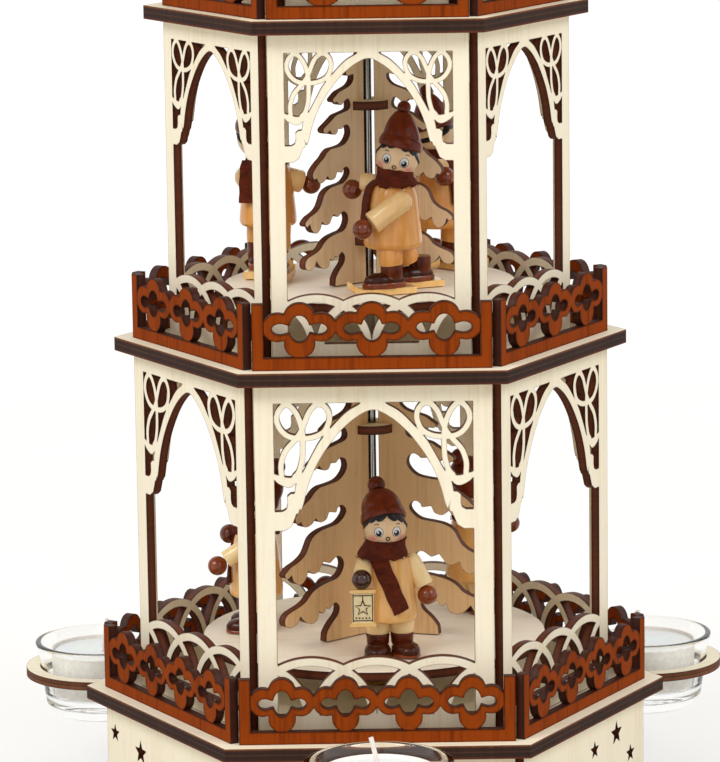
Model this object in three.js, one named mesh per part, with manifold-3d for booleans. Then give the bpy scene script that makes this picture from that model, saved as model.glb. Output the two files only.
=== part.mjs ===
// Candle carousel: a three-storey hexagonal tea-light pyramid of laser-cut plywood.
// Millimetres, +Z up. The origin is on the spindle axis at the underside of the base box.
// Tea lights in three glasses heat the air under a bladed wheel, which turns a steel rod
// with three turntables on it inside the storeys.
import * as THREE from 'three';
import { mergeVertices } from 'three/addons/utils/BufferGeometryUtils.js';
import Module from 'manifold-3d';

const wasm = await Module();
wasm.setup();

// Sheet stock and running gaps
const ply = 3;
const deckPly = 4.6;
const bladePly = 1.6;
const seatGap = 0.3;
const spinGap = 0.5;
const overrun = 1;

// Decks and storeys, from the base up; each storey steps in and down by a fixed amount
const storeys = 3;
const baseDeckRadius = 100;
const deckSetback = 12.5;
const baseHeight = 45;
const firstStoreyHeight = 122.5;
const storeyDrop = 9.3;
const panelInset = 18.8;

// Base box
const starTips = 5;
const starInnerShare = 0.42;
const wallInset = 5.2;
const floorSink = 0.6;
const starRadius = 4.2;
const starSmallShare = 0.75;

// Stars on each wall, as shares of half its length and of its height, with their size
const starPlaceShares = [
  [],
  [[0.53, 0.76, 1], [0.16, 0.71, starSmallShare], [0.77, 0.52, starSmallShare]],
  [],
  [[-0.55, 0.7, 1], [0.3, 0.62, starSmallShare]],
  [],
  [[-0.87, 0.74, starSmallShare], [-0.45, 0.67, 1]],
];

// Candle arms, glasses and tea lights
const candleCount = 3;
const glassDeckGap = 1.7;
const ringBand = 5;
const neckWidth = 26;
const glassRimRadius = 24.2;
const glassSeatRadius = 22.3;
const glassFootRadius = 20.8;
const glassBaseRadius = 15.5;
const glassWall = 2;
const glassFootThickness = 6.3;
const glassHeight = 26.8;
const glassRimAboveDeck = 4.2;
const glassRoundHeight = 5.5;
const lightRadius = 18.3;
const lightHeight = 15.2;
const lightWaxDrop = 1;
const lightCupWall = 0.8;

// Arch panels: shares are of half the window's width unless the name says otherwise
const windowWidthShare = 0.834;
const topRail = 6;
const bottomRail = 6.5;
const fenceArcCounts = [3, 3, 2];
const fenceRiseShare = 0.9;
const fenceBand = 2.8;
const archSteps = 3;
const archApexShares = [0, 0.073];
const archHaunchShares = [0.558, 0.6];
const archFootShares = [0.762, 1.12];
const strapEndShares = [0.79, 1.15];
const bracketShare = [0.88, 1.3];
const fenceTopShares = [0.5, 0];
const shieldShoulderShare = 0.4;
const bisections = 40;

// Tracery holes in an upper corner, the fullest first: bow loops, then the gaps between bows
const traceryShares = [
  [[0.555, 0.03], [0.66, 0.17], [0.555, 0.33], [0.45, 0.17]],
  [[0.86, 0.4], [0.905, 0.56], [0.8, 0.79], [0.75, 0.55]],
  [[0.965, 0.86], [0.965, 1.1], [0.8, 0.86]],
  [[0.44, 0.045], [0.14, 0.045], [0.41, 0.24]],
  [[0.885, 0.045], [0.965, 0.3], [0.79, 0.24]],
];
const traceryCounts = [4, 4, 1];

// Railings: shares are of one flower's width and half its height
const railingInset = 4.8;
const railingHeight = 22;
const railingPost = 3.8;
const railingRail = 4.2;
const railingTenon = 1;
const flowersByStorey = [4, 3, 2];
const flowerTopShares = [[0.5, 0.42], [0.19, 0.97], [-0.19, 0.97]];
const flowerWaistShare = 0.2;
const flowerFootShare = 0.17;
const flowerEyeShares = [0.3, 0.42];

// Spindle and its bearings
const rodRadius = 1.5;
const rodTipLength = 4;
const rodAboveRoof = 34;
const bearingRadius = 7;
const bearingHeight = 6;
const bearingSocketRadius = 3.2;
const bearingSocketDepth = 3.6;
const bushRadius = 6;
const bushFlangeRadius = 9;
const bushFlange = 2.4;

// Turntables
const turntableRise = 18;
const turntableShare = 0.87;

// Half-tree boards, three to a storey; outline shares are of reach and height
const boardsPerTree = 3;
const treeTurn = THREE.MathUtils.degToRad(222);
const treeReachShares = [0.72, 0.625, 0.62];
const treeHeadroom = 5;
const treeRodGap = 0.6;
const treeDiscRadius = 8;
const treeUpperDiscShares = [0.74, 0.69, 0.69];
const treeLowerDiscRise = 13;
const treeOutlineShares = [
  [0.54, 0], [0.44, 0.13], [0.88, 0.06], [1, 0.11], [0.66, 0.215],
  [0.4, 0.305], [0.84, 0.235], [0.99, 0.29], [0.66, 0.42],
  [0.36, 0.485], [0.74, 0.43], [0.86, 0.46], [0.56, 0.57],
  [0.3, 0.645], [0.72, 0.61], [0.44, 0.73],
  [0.24, 0.78], [0.46, 0.77], [0.22, 0.9],
];

// Turned figures: shares are of a figure's height
const figuresPerStorey = 3;
const figureHeightShares = [0.502, 0.556, 0.452];
// The figures are glued on by eye, so each has a place of its own
const figureOffsetShares = [[0.575, 0.695, 0.739], [0.517, 0.686, 0.686], [0.67, 0.67, 0.67]];
const figureTurns = [[278.5, 173, 36.5], [290.6, 166, 46], [284, 164, 44]];
const figureSides = 8;
const limbSides = 4;
const legSides = 4;
const pegSides = 6;
const bodyProfileShares = [
  [0, 0.215], [0.146, 0.215], [0.118, 0.53], [0.105, 0.63],
  [0.122, 0.78], [0.09, 0.87], [0.047, 0.93], [0, 1],
];
const legShares = { radius: 0.06, top: 0.24 };
const bootShares = { width: 0.13, length: 0.2, height: 0.08, toe: 0.04 };
const armShares = { radius: 0.046, hand: 0.055 };
const skiShares = { length: 0.31, width: 0.07, thickness: 0.03 };
const lanternShares = { width: 0.148, depth: 0.05, height: 0.215, place: [-0.156, -0.14, 0.28] };
// Each arm runs from its shoulder to its hand; feet are given by their legs
const poseShares = {
  bearer: {
    feet: [[-0.068, 0], [0.068, 0]],
    arms: [
      [[-0.122, -0.016, 0.528], [-0.158, -0.138, 0.37]],
      [[0.114, 0, 0.528], [0.205, -0.049, 0.325]],
    ],
  },
  walker: {
    feet: [[-0.068, 0], [0.068, 0]],
    arms: [
      [[-0.106, -0.016, 0.52], [-0.138, -0.22, 0.53]],
      [[0.106, -0.016, 0.52], [0.154, -0.17, 0.34]],
    ],
  },
  skier: {
    feet: [[-0.055, -0.058], [0.118, 0.046]],
    arms: [
      [[-0.008, -0.11, 0.483], [-0.223, -0.08, 0.343]],
      [[-0.072, 0.077, 0.538], [-0.208, 0.143, 0.542]],
    ],
  },
};
const skierHeading = -Math.PI / 2;
const skiStorey = 1;

// Bladed wheel
const bladeCount = 10;
const wheelRadius = 146;
const hubRadius = 21;
const hubHeight = 15;
const hubEdge = 2.5;
const hubTopCover = 4;
const bladeRootGap = 4;
const bladeRootWidth = 26;
const bladeTipWidth = 52;
const bladeTipCorner = 9;
const bladePitch = THREE.MathUtils.degToRad(28);
const pegRadius = 2.2;
const pegDepth = 9;
const pegGrip = 14;
const finialRadius = 7;
const finialHeight = 17;
const finialStemRadius = 3;
const finialStem = 3;
const finialShares = [[0.7, 0], [1, 0.4], [0.6, 0.7]];

// Sides of the round pieces
const roundSides = 16;
const smallSides = 8;
const glassSides = 12;
const hubSides = 16;

// Worked-out sizes
const hexHalf = Math.PI / 6;
const hexTurn = Math.PI / 3;
const apothem = (radius) => radius * Math.cos(hexHalf);
const sideAt = (distance) => 2 * distance * Math.tan(hexHalf);
const deckRadius = (level) => baseDeckRadius - level * deckSetback;
const storeyHeight = (level) => firstStoreyHeight - level * storeyDrop;
const panelDistance = (level) => apothem(deckRadius(level)) - panelInset;
const deckTop = (level) => (level === 0 ? baseHeight : deckTop(level - 1) + storeyHeight(level - 1));
const roofTop = deckTop(storeys);
const turntableRadius = (level) => turntableShare * panelDistance(level);
const rodTop = roofTop + rodAboveRoof;
const rodBore = rodRadius + spinGap;
const wallOuter = apothem(baseDeckRadius) - wallInset;
const wallInner = wallOuter - ply;
const armTop = baseHeight - deckPly - seatGap;
const armBottom = armTop - ply;
const ringHole = glassSeatRadius + seatGap;
const candleOffset = apothem(baseDeckRadius) + glassDeckGap + glassRimRadius;
const ringRadius = ringHole + ringBand;

const colours = {
  birch: 0xe9dab6,
  stain: 0x9c4a18,
  inside: 0xb08c60,
  white: 0xe4ded2,
  steel: 0x9a9a96,
  brass: 0xb08a4a,
  glass: 0xdfe8e2,
  wax: 0xf4f2ee,
  tan: 0xd6a870,
};

function finish(colour, roughness, metalness = 0) {
  return new THREE.MeshStandardMaterial({ color: colour, roughness, metalness });
}

// Solid joins and cuts
function solidOf(geometry) {
  const bare = geometry.index ? geometry.toNonIndexed() : geometry.clone();
  bare.deleteAttribute('normal');
  bare.deleteAttribute('uv');
  const merged = mergeVertices(bare);
  const solid = new wasm.Manifold(new wasm.Mesh({
    numProp: 3,
    vertProperties: new Float32Array(merged.attributes.position.array),
    triVerts: new Uint32Array(merged.index.array),
  }));
  return solid;
}

function geometryOf(solid) {
  const mesh = solid.getMesh();
  const geometry = new THREE.BufferGeometry();
  geometry.setAttribute('position', new THREE.BufferAttribute(mesh.vertProperties, 3));
  geometry.setIndex(new THREE.BufferAttribute(mesh.triVerts, 1));
  geometry.computeVertexNormals();
  return geometry;
}

function joined(geometries) {
  return geometries.map(solidOf).reduce((sum, solid) => sum.add(solid));
}

function cutBy(solid, geometries) {
  return geometries.map(solidOf).reduce((left, solid) => left.subtract(solid), solid);
}

// Plane outlines
function points(pairs) {
  return pairs.map(([x, y]) => new THREE.Vector2(x, y));
}

function prism(outline, thickness) {
  const shape = new THREE.Shape(points(outline));
  return new THREE.ExtrudeGeometry(shape, { depth: thickness, bevelEnabled: false });
}

// A flat piece cut from sheet, lying on z = 0
function sheet({ outline, holes = [] }, thickness) {
  if (holes.length === 0) {
    return prism(outline, thickness);
  }
  const cutters = holes.map((hole) => prism(hole, thickness + 2 * overrun).translate(0, 0, -overrun));
  return geometryOf(cutBy(solidOf(prism(outline, thickness)), cutters));
}

function roundOutline(x, y, radius, sides, phase = 0) {
  const outline = [];
  for (let step = 0; step < sides; step += 1) {
    const angle = phase + 2 * Math.PI * step / sides;
    outline.push([x + radius * Math.cos(angle), y + radius * Math.sin(angle)]);
  }
  return outline;
}

function hexOutline(radius) {
  return roundOutline(0, 0, radius, 6);
}

function turned(profile, sides) {
  const lathe = new THREE.LatheGeometry(points(profile), sides);
  return lathe.rotateX(Math.PI / 2);
}

// Points on the circle through three given points, from the first to the last
function arcThrough(first, middle, last, steps) {
  const [ax, ay] = first;
  const [bx, by] = middle;
  const [cx, cy] = last;
  const d = 2 * (ax * (by - cy) + bx * (cy - ay) + cx * (ay - by));
  const aa = ax * ax + ay * ay;
  const bb = bx * bx + by * by;
  const cc = cx * cx + cy * cy;
  const ox = (aa * (by - cy) + bb * (cy - ay) + cc * (ay - by)) / d;
  const oy = (aa * (cx - bx) + bb * (ax - cx) + cc * (bx - ax)) / d;
  const radius = Math.hypot(ax - ox, ay - oy);
  const start = Math.atan2(ay - oy, ax - ox);
  const end = Math.atan2(cy - oy, cx - ox);
  const sweep = Math.atan2(Math.sin(end - start), Math.cos(end - start));
  const arc = [];
  for (let step = 0; step <= steps; step += 1) {
    const angle = start + sweep * step / steps;
    arc.push([ox + radius * Math.cos(angle), oy + radius * Math.sin(angle)]);
  }
  return arc;
}

// Fretwork arch panel: pointed arch with bow tracery above, three interlaced round arcs below
function archPanelShape(width, height, fenceArcs, traceryCount) {
  const half = width * windowWidthShare / 2;
  const windowTop = height - topRail;
  const at = ([across, drop]) => [across * half, windowTop - drop * half];
  const pitch = 2 * half / fenceArcs;
  const rise = pitch * fenceRiseShare;
  const innerPitch = pitch - fenceBand;
  const innerRise = rise - fenceBand;
  const outer = (offset) => rise * Math.sqrt(Math.max(0, 1 - (offset / pitch) ** 2));
  const inner = (offset) => innerRise * Math.sqrt(Math.max(0, 1 - (offset / innerPitch) ** 2));

  // The opening, right half from the apex down, then the fence tops, then the left half up
  const arch = arcThrough(at(archApexShares), at(archHaunchShares), at(archFootShares), archSteps);
  const side = [...arch, at(strapEndShares), at(bracketShare), [half, at(bracketShare)[1]]];
  const fenceTop = [];
  for (let arc = 0; arc < fenceArcs; arc += 1) {
    const centre = half - pitch * (arc + 0.5);
    for (const share of fenceTopShares) {
      fenceTop.push([centre + share * pitch, bottomRail + outer(share * pitch)]);
    }
  }
  fenceTop.push([-half, bottomRail + outer(pitch / 2)]);
  const mirrored = side.slice(1).map(([x, y]) => [-x, y]).reverse();
  const opening = [...side, ...fenceTop, ...mirrored];

  // Where the underside of one arc meets the top of the next
  let low = 0;
  let high = pitch / 2;
  for (let step = 0; step < bisections; step += 1) {
    const middle = (low + high) / 2;
    if (inner(middle) > outer(pitch - middle)) {
      low = middle;
    } else {
      high = middle;
    }
  }
  const corner = high;
  const shoulder = corner * shieldShoulderShare;
  const holes = [opening];
  for (let arc = 0; arc < fenceArcs; arc += 1) {
    const centre = half - pitch * (arc + 0.5);
    const flank = [[corner, inner(corner)], [shoulder, outer(pitch - shoulder)]];
    const shield = [...flank, [0, fenceBand / 2], ...flank.map(([x, y]) => [-x, y]).reverse()];
    holes.push(shield.map(([x, y]) => [centre + x, bottomRail + y]));
  }
  for (let gap = 1; gap < fenceArcs; gap += 1) {
    const centre = half - pitch * gap;
    const foot = innerPitch - pitch / 2;
    holes.push([
      [centre + foot, bottomRail],
      [centre, bottomRail + inner(pitch / 2)],
      [centre - foot, bottomRail],
    ]);
  }

  // Tracery in both upper corners
  for (const hand of [1, -1]) {
    for (const hole of traceryShares.slice(0, traceryCount)) {
      holes.push(hole.map(at).map(([x, y]) => [hand * x, y]));
    }
  }
  const edge = width / 2;
  return { outline: [[-edge, 0], [edge, 0], [edge, height], [-edge, height]], holes };
}

// Railing: end posts, a bottom rail and a chain of four-lobed flowers between them
function railingShape(length, flowers) {
  const edge = length / 2;
  const inside = edge - railingPost;
  const cell = 2 * inside / flowers;
  const halfHeight = (railingHeight - railingRail) / 2;
  const middle = railingRail + halfHeight;
  const shoulder = middle + flowerTopShares[0][1] * halfHeight;
  const outline = [
    [-edge, -railingTenon],
    [edge, -railingTenon],
    [edge, railingHeight],
    [inside, railingHeight],
  ];
  const holes = [];
  for (let flower = 0; flower < flowers; flower += 1) {
    const centre = inside - cell * (flower + 0.5);
    flowerTopShares.forEach(([x, y]) => outline.push([centre + x * cell, middle + y * halfHeight]));
    const [eyeAcross, eyeUp] = flowerEyeShares;
    holes.push([
      [centre + eyeAcross * cell, middle],
      [centre, middle + eyeUp * halfHeight],
      [centre - eyeAcross * cell, middle],
      [centre, middle - eyeUp * halfHeight],
    ]);
  }
  outline.push([-inside, shoulder], [-inside, railingHeight], [-edge, railingHeight]);
  const under = middle - flowerWaistShare * halfHeight;
  for (let joint = 1; joint < flowers; joint += 1) {
    const x = inside - cell * joint;
    const reach = cell * (0.5 - flowerFootShare);
    holes.push([[x - reach, railingRail], [x, under], [x + reach, railingRail]]);
  }
  return { outline, holes };
}

// A flat cut piece stood on edge with its outer face at a distance from the axis
function stood(geometry, innerDistance, height, side) {
  return geometry
    .rotateX(Math.PI / 2)
    .translate(0, -innerDistance, height)
    .rotateZ(side * hexTurn);
}

function deckSolid(level) {
  const radius = deckRadius(level);
  const bore = level === 0 ? [] : [roundOutline(0, 0, rodBore, smallSides)];
  const plate = sheet({ outline: hexOutline(radius), holes: bore }, deckPly).translate(0, 0, -deckPly);
  const inner = apothem(radius) - railingInset - ply;
  const length = sideAt(inner) - seatGap;
  const rails = [];
  for (let side = 0; side < 6; side += 1) {
    rails.push(stood(sheet(railingShape(length, flowersByStorey[level]), ply), inner, 0, side));
  }
  return joined([plate, ...rails]);
}

function starOutline(x, y, radius) {
  const outline = [];
  for (let tip = 0; tip < 2 * starTips; tip += 1) {
    const reach = tip % 2 === 0 ? radius : radius * starInnerShare;
    const angle = Math.PI / 2 + tip * Math.PI / starTips;
    outline.push([x + reach * Math.cos(angle), y + reach * Math.sin(angle)]);
  }
  return outline;
}

// Base box: six walls with star cut-outs round a floor plate, notched for the candle arms
function baseBoxSolid() {
  const length = sideAt(wallInner) - seatGap;
  const height = baseHeight - deckPly - seatGap;
  const walls = [prism(hexOutline((wallInner + floorSink) / Math.cos(hexHalf)), ply)];
  const notches = [];
  for (let side = 0; side < 6; side += 1) {
    const edge = length / 2;
    const holes = starPlaceShares[side].map(
      ([x, z, size]) => starOutline(x * edge, z * height, size * starRadius),
    );
    const wall = { outline: [[-edge, 0], [edge, 0], [edge, height], [-edge, height]], holes };
    walls.push(stood(sheet(wall, ply), wallInner, 0, side));
  }
  for (let arm = 0; arm < candleCount; arm += 1) {
    const across = neckWidth + 2 * seatGap;
    const notch = new THREE.BoxGeometry(across, ply + 2 * overrun, ply + seatGap + overrun)
      .translate(0, -(wallInner + wallOuter) / 2, armBottom - seatGap + (ply + seatGap + overrun) / 2)
      .rotateZ(arm * 2 * hexTurn);
    notches.push(notch);
  }
  return cutBy(joined(walls), notches);
}

// Candle plate: a hexagon inside the walls with three ring arms through them
function candlePlateSolid() {
  const plate = prism(hexOutline((wallInner - seatGap) / Math.cos(hexHalf)), ply);
  const pieces = [plate];
  const holes = [];
  for (let arm = 0; arm < candleCount; arm += 1) {
    const turn = arm * 2 * hexTurn;
    const neckStart = wallInner - ringBand;
    const neck = new THREE.BoxGeometry(neckWidth, candleOffset - neckStart, ply)
      .translate(0, -(candleOffset + neckStart) / 2, ply / 2);
    const ring = prism(roundOutline(0, -candleOffset, ringRadius, roundSides), ply);
    const circle = roundOutline(0, -candleOffset, ringHole, glassSides, -Math.PI / 2);
    const hole = prism(circle, ply + 2 * overrun);
    pieces.push(neck.rotateZ(turn), ring.rotateZ(turn));
    holes.push(hole.translate(0, 0, -overrun).rotateZ(turn));
  }
  return cutBy(joined(pieces), holes);
}

// Pressed glass: a thick round-cornered foot and a wall that flares to the rim
function glassGeometry() {
  const seat = glassHeight - glassRimAboveDeck - deckPly - seatGap;
  const innerFoot = glassFootRadius - glassWall;
  return turned([
    [0, 0],
    [glassBaseRadius, 0],
    [glassFootRadius, glassRoundHeight],
    [glassSeatRadius, seat],
    [glassRimRadius, glassHeight],
    [glassRimRadius - glassWall, glassHeight],
    [innerFoot, glassFootThickness],
    [0, glassFootThickness],
  ], glassSides);
}

// Tea light: a metal cup filled with wax to just below its rim
function teaLightGeometry() {
  const waxRadius = lightRadius - lightCupWall;
  return turned([
    [0, 0],
    [lightRadius, 0],
    [lightRadius, lightHeight],
    [waxRadius, lightHeight],
    [waxRadius, lightHeight - lightWaxDrop],
    [0, lightHeight - lightWaxDrop],
  ], glassSides);
}

// Three half trees round the rod, locked together by two round discs
function treeSolid(level) {
  const reach = treeReachShares[level] * turntableRadius(level);
  const height = storeyHeight(level) - deckPly - turntableRise - treeHeadroom;
  const rodSide = rodRadius + treeRodGap;
  const outline = [
    [rodSide, 0],
    ...treeOutlineShares.map(([x, y]) => [x * reach, y * height]),
    [rodSide + ply / 2, height],
    [rodSide, height],
  ];
  const pieces = [];
  for (let board = 0; board < boardsPerTree; board += 1) {
    const angle = treeTurn + board * 2 * Math.PI / boardsPerTree;
    pieces.push(prism(outline, ply).translate(0, 0, -ply / 2).rotateX(Math.PI / 2).rotateZ(angle));
  }
  for (const rise of [treeLowerDiscRise, treeUpperDiscShares[level] * height]) {
    pieces.push(prism(roundOutline(0, 0, treeDiscRadius, smallSides), ply).translate(0, 0, rise));
  }
  return cutBy(joined(pieces), [
    new THREE.CylinderGeometry(rodRadius + seatGap, rodRadius + seatGap, height + 2 * overrun, smallSides)
      .rotateX(Math.PI / 2)
      .translate(0, 0, height / 2),
  ]);
}

// A rod-like limb between two places
function limb(from, to, startRadius, endRadius, sides) {
  const start = new THREE.Vector3(...from);
  const end = new THREE.Vector3(...to);
  const along = end.clone().sub(start);
  const geometry = new THREE.CylinderGeometry(endRadius, startRadius, along.length(), sides);
  const turn = new THREE.Quaternion().setFromUnitVectors(
    new THREE.Vector3(0, 1, 0),
    along.clone().normalize(),
  );
  return geometry.applyQuaternion(turn).translate(...start.add(end).multiplyScalar(0.5).toArray());
}

// A block resting on z = low, moved towards the toes and turned to the heading
function footBlock(width, length, low, high, toe, heading) {
  return new THREE.BoxGeometry(width, length, high - low)
    .translate(0, -toe, (low + high) / 2)
    .rotateZ(heading);
}

// Turned figure facing -Y, standing on z = 0
function figureSolid(height, pose) {
  const body = turned(bodyProfileShares.map(([r, z]) => [r * height, z * height]), figureSides);
  const pieces = [body];
  const onSkis = pose === 'skier';
  const heading = onSkis ? skierHeading : 0;
  const skiTop = onSkis ? skiShares.thickness * height : 0;
  const bootMiddle = skiTop + bootShares.height * height / 2;
  const toe = bootShares.toe * height;
  for (const [x, y] of poseShares[pose].feet.map((foot) => foot.map((share) => share * height))) {
    const bootTop = skiTop + bootShares.height * height;
    pieces.push(
      footBlock(bootShares.width * height, bootShares.length * height, skiTop, bootTop, toe, heading)
        .translate(x, y, 0),
      limb([x, y, bootMiddle], [x, y, legShares.top * height],
        legShares.radius * height, legShares.radius * height, legSides),
    );
    if (onSkis) {
      pieces.push(footBlock(skiShares.width * height, skiShares.length * height, 0, bootMiddle, toe, heading)
        .translate(x, y, 0));
    }
  }
  for (const arm of poseShares[pose].arms) {
    const [shoulder, hand] = arm.map((end) => end.map((share) => share * height));
    pieces.push(limb(shoulder, hand, armShares.radius * height, armShares.hand * height, limbSides));
  }
  if (pose === 'bearer') {
    const { width, depth, height: tall, place: middle } = lanternShares;
    pieces.push(new THREE.BoxGeometry(width * height, depth * height, tall * height)
      .translate(...middle.map((share) => share * height)));
  }
  return joined(pieces);
}

// Wheel parts, made with the hub's underside at z = 0
function hubSolid() {
  const hub = turned([
    [0, 0],
    [hubRadius, 0],
    [hubRadius, hubHeight - hubEdge],
    [hubRadius - hubEdge, hubHeight],
    [0, hubHeight],
  ], hubSides).rotateZ(Math.PI / hubSides);
  const cuts = [];
  const bore = rodRadius + seatGap;
  const boreDepth = hubHeight - hubTopCover;
  cuts.push(new THREE.CylinderGeometry(bore, bore, boreDepth + overrun, smallSides)
    .rotateX(Math.PI / 2)
    .translate(0, 0, (boreDepth - overrun) / 2));
  const socket = finialStemRadius + seatGap;
  cuts.push(new THREE.CylinderGeometry(socket, socket, finialStem + seatGap + overrun, smallSides)
    .rotateX(Math.PI / 2)
    .translate(0, 0, hubHeight - (finialStem + seatGap - overrun) / 2));
  for (let blade = 0; blade < bladeCount; blade += 1) {
    const depth = pegDepth + seatGap + overrun;
    cuts.push(new THREE.CylinderGeometry(pegRadius + seatGap, pegRadius + seatGap, depth, pegSides)
      .rotateZ(Math.PI / 2)
      .rotateX(bladePitch)
      .translate(hubRadius + overrun - depth / 2, 0, hubHeight / 2)
      .rotateZ(blade * 2 * Math.PI / bladeCount));
  }
  return cutBy(solidOf(hub), cuts);
}

// One blade along +X: a round peg in the hub and a thin leaf that widens to the tip
function bladeSolid() {
  const root = hubRadius + bladeRootGap;
  const leaf = [
    [root, -bladeRootWidth / 2],
    [wheelRadius - bladeTipCorner, -bladeTipWidth / 2],
    [wheelRadius, -bladeTipWidth / 2 + bladeTipCorner],
    [wheelRadius, bladeTipWidth / 2 - bladeTipCorner],
    [wheelRadius - bladeTipCorner, bladeTipWidth / 2],
    [root, bladeRootWidth / 2],
  ];
  const start = hubRadius - pegDepth;
  const pegLength = root + pegGrip - start;
  const peg = new THREE.CylinderGeometry(pegRadius, pegRadius, pegLength, pegSides)
    .rotateZ(Math.PI / 2)
    .translate(start + pegLength / 2, 0, 0);
  return joined([prism(leaf, bladePly).translate(0, 0, -bladePly / 2), peg]);
}

const group = new THREE.Group();

function place(name, geometry, material, parent = group) {
  const mesh = new THREE.Mesh(geometry, material);
  mesh.name = name;
  parent.add(mesh);
  return mesh;
}

function turnedGroup(angle, height = 0) {
  const holder = new THREE.Group();
  holder.rotation.z = angle;
  holder.position.z = height;
  group.add(holder);
  return holder;
}

// Base
place('base_box', geometryOf(baseBoxSolid()), finish(colours.birch, 0.7));
place('candle_plate', geometryOf(candlePlateSolid()), finish(colours.birch, 0.7)).position.z = armBottom;

// Decks with their railings, and the roof plate
for (let level = 0; level < storeys; level += 1) {
  const deck = place(`deck_${level + 1}`, geometryOf(deckSolid(level)), finish(colours.stain, 0.6));
  deck.position.z = deckTop(level);
}
const roofShape = {
  outline: hexOutline(deckRadius(storeys)),
  holes: [roundOutline(0, 0, bushRadius + seatGap, smallSides)],
};
place('roof_plate', sheet(roofShape, deckPly), finish(colours.birch, 0.7)).position.z = roofTop - deckPly;

// Arch panels, six to a storey
for (let level = 0; level < storeys; level += 1) {
  const width = sideAt(panelDistance(level)) - seatGap;
  const height = storeyHeight(level) - deckPly - 2 * seatGap;
  for (let side = 0; side < 6; side += 1) {
    const holder = turnedGroup(side * hexTurn, deckTop(level) + seatGap);
    const shape = archPanelShape(width, height, fenceArcCounts[level], traceryCounts[level]);
    const name = `arch_panel_${level + 1}_${side + 1}`;
    const panel = place(name, sheet(shape, ply), finish(colours.birch, 0.7), holder);
    panel.rotation.x = Math.PI / 2;
    panel.position.y = -panelDistance(level);
  }
}

// Glasses and tea lights
for (let arm = 0; arm < candleCount; arm += 1) {
  const holder = turnedGroup(arm * 2 * hexTurn, baseHeight + glassRimAboveDeck - glassHeight);
  const glass = place(`candle_glass_${arm + 1}`, glassGeometry(), finish(colours.glass, 0.05), holder);
  glass.position.y = -candleOffset;
  const light = place(`tea_light_${arm + 1}`, teaLightGeometry(), finish(colours.wax, 0.4), holder);
  light.position.set(0, -candleOffset, glassFootThickness + seatGap);
}

// Spindle, its needle bearing and the guide bush in the roof
const bearingProfile = [
  [0, 0],
  [bearingRadius, 0],
  [bearingRadius, bearingHeight],
  [bearingSocketRadius, bearingHeight],
  [0, bearingHeight - bearingSocketDepth],
];
const bearing = place('bearing_cup', turned(bearingProfile, smallSides), finish(colours.brass, 0.35, 0.9));
bearing.position.z = baseHeight + seatGap;
const rodFoot = baseHeight + 2 * seatGap + bearingHeight - bearingSocketDepth;
const rodLength = rodTop - rodFoot;
const rodProfile = [[0, 0], [rodRadius, rodTipLength], [rodRadius, rodLength], [0, rodLength]];
place('spindle_rod', turned(rodProfile, smallSides), finish(colours.steel, 0.25, 1)).position.z = rodFoot;
const bushLength = deckPly + bushFlange + seatGap;
const bushProfile = [
  [rodBore, 0],
  [bushRadius, 0],
  [bushRadius, deckPly + seatGap],
  [bushFlangeRadius, deckPly + seatGap],
  [bushFlangeRadius, bushLength],
  [rodBore, bushLength],
  [rodBore, 0],
];
const bush = place('roof_bush', turned(bushProfile, smallSides), finish(colours.stain, 0.5));
bush.position.z = roofTop - deckPly;

// Turntables, trees and figures
for (let level = 0; level < storeys; level += 1) {
  const top = deckTop(level) + turntableRise;
  const disc = {
    outline: roundOutline(0, 0, turntableRadius(level), roundSides),
    holes: [roundOutline(0, 0, rodRadius + seatGap, smallSides)],
  };
  place(`turntable_${level + 1}`, sheet(disc, ply), finish(colours.white, 0.6)).position.z = top - ply;
  const tree = place(`tree_cross_${level + 1}`, geometryOf(treeSolid(level)), finish(colours.inside, 0.7));
  tree.position.z = top + seatGap;
  for (let figure = 0; figure < figuresPerStorey; figure += 1) {
    const pose = level === skiStorey ? 'skier' : level + figure === 0 ? 'bearer' : 'walker';
    const solid = figureSolid(figureHeightShares[level] * storeyHeight(level), pose);
    const angle = THREE.MathUtils.degToRad(figureTurns[level][figure]) + Math.PI / 2;
    const offset = figureOffsetShares[level][figure] * turntableRadius(level);
    const holder = turnedGroup(angle, top + seatGap);
    const name = `figure_${level + 1}_${figure + 1}`;
    place(name, geometryOf(solid), finish(colours.tan, 0.3), holder).position.y = -offset;
  }
}

// Bladed wheel on top of the rod
const wheelBase = rodTop + seatGap - (hubHeight - hubTopCover);
place('wheel_hub', geometryOf(hubSolid()), finish(colours.stain, 0.5)).position.z = wheelBase;
for (let blade = 0; blade < bladeCount; blade += 1) {
  const holder = turnedGroup(blade * 2 * Math.PI / bladeCount, wheelBase + hubHeight / 2);
  const name = `wheel_blade_${blade + 1}`;
  const leaf = place(name, geometryOf(bladeSolid()), finish(colours.birch, 0.6), holder);
  leaf.rotation.x = bladePitch;
}
const finialProfile = [
  [0, 0],
  [finialStemRadius, 0],
  [finialStemRadius, finialStem + seatGap],
  ...finialShares.map(([r, z]) => [r * finialRadius, finialStem + seatGap + z * finialHeight]),
  [0, finialStem + finialHeight],
];
const finial = place('finial', turned(finialProfile, smallSides), finish(colours.stain, 0.4));
finial.position.z = wheelBase + hubHeight - finialStem;

export default group;
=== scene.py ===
from math import atan2, cos, degrees, pi, radians, sin, sqrt, tan

import bpy
import numpy as np
from mathutils import Matrix, Vector
from mathutils.geometry import delaunay_2d_cdt


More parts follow.
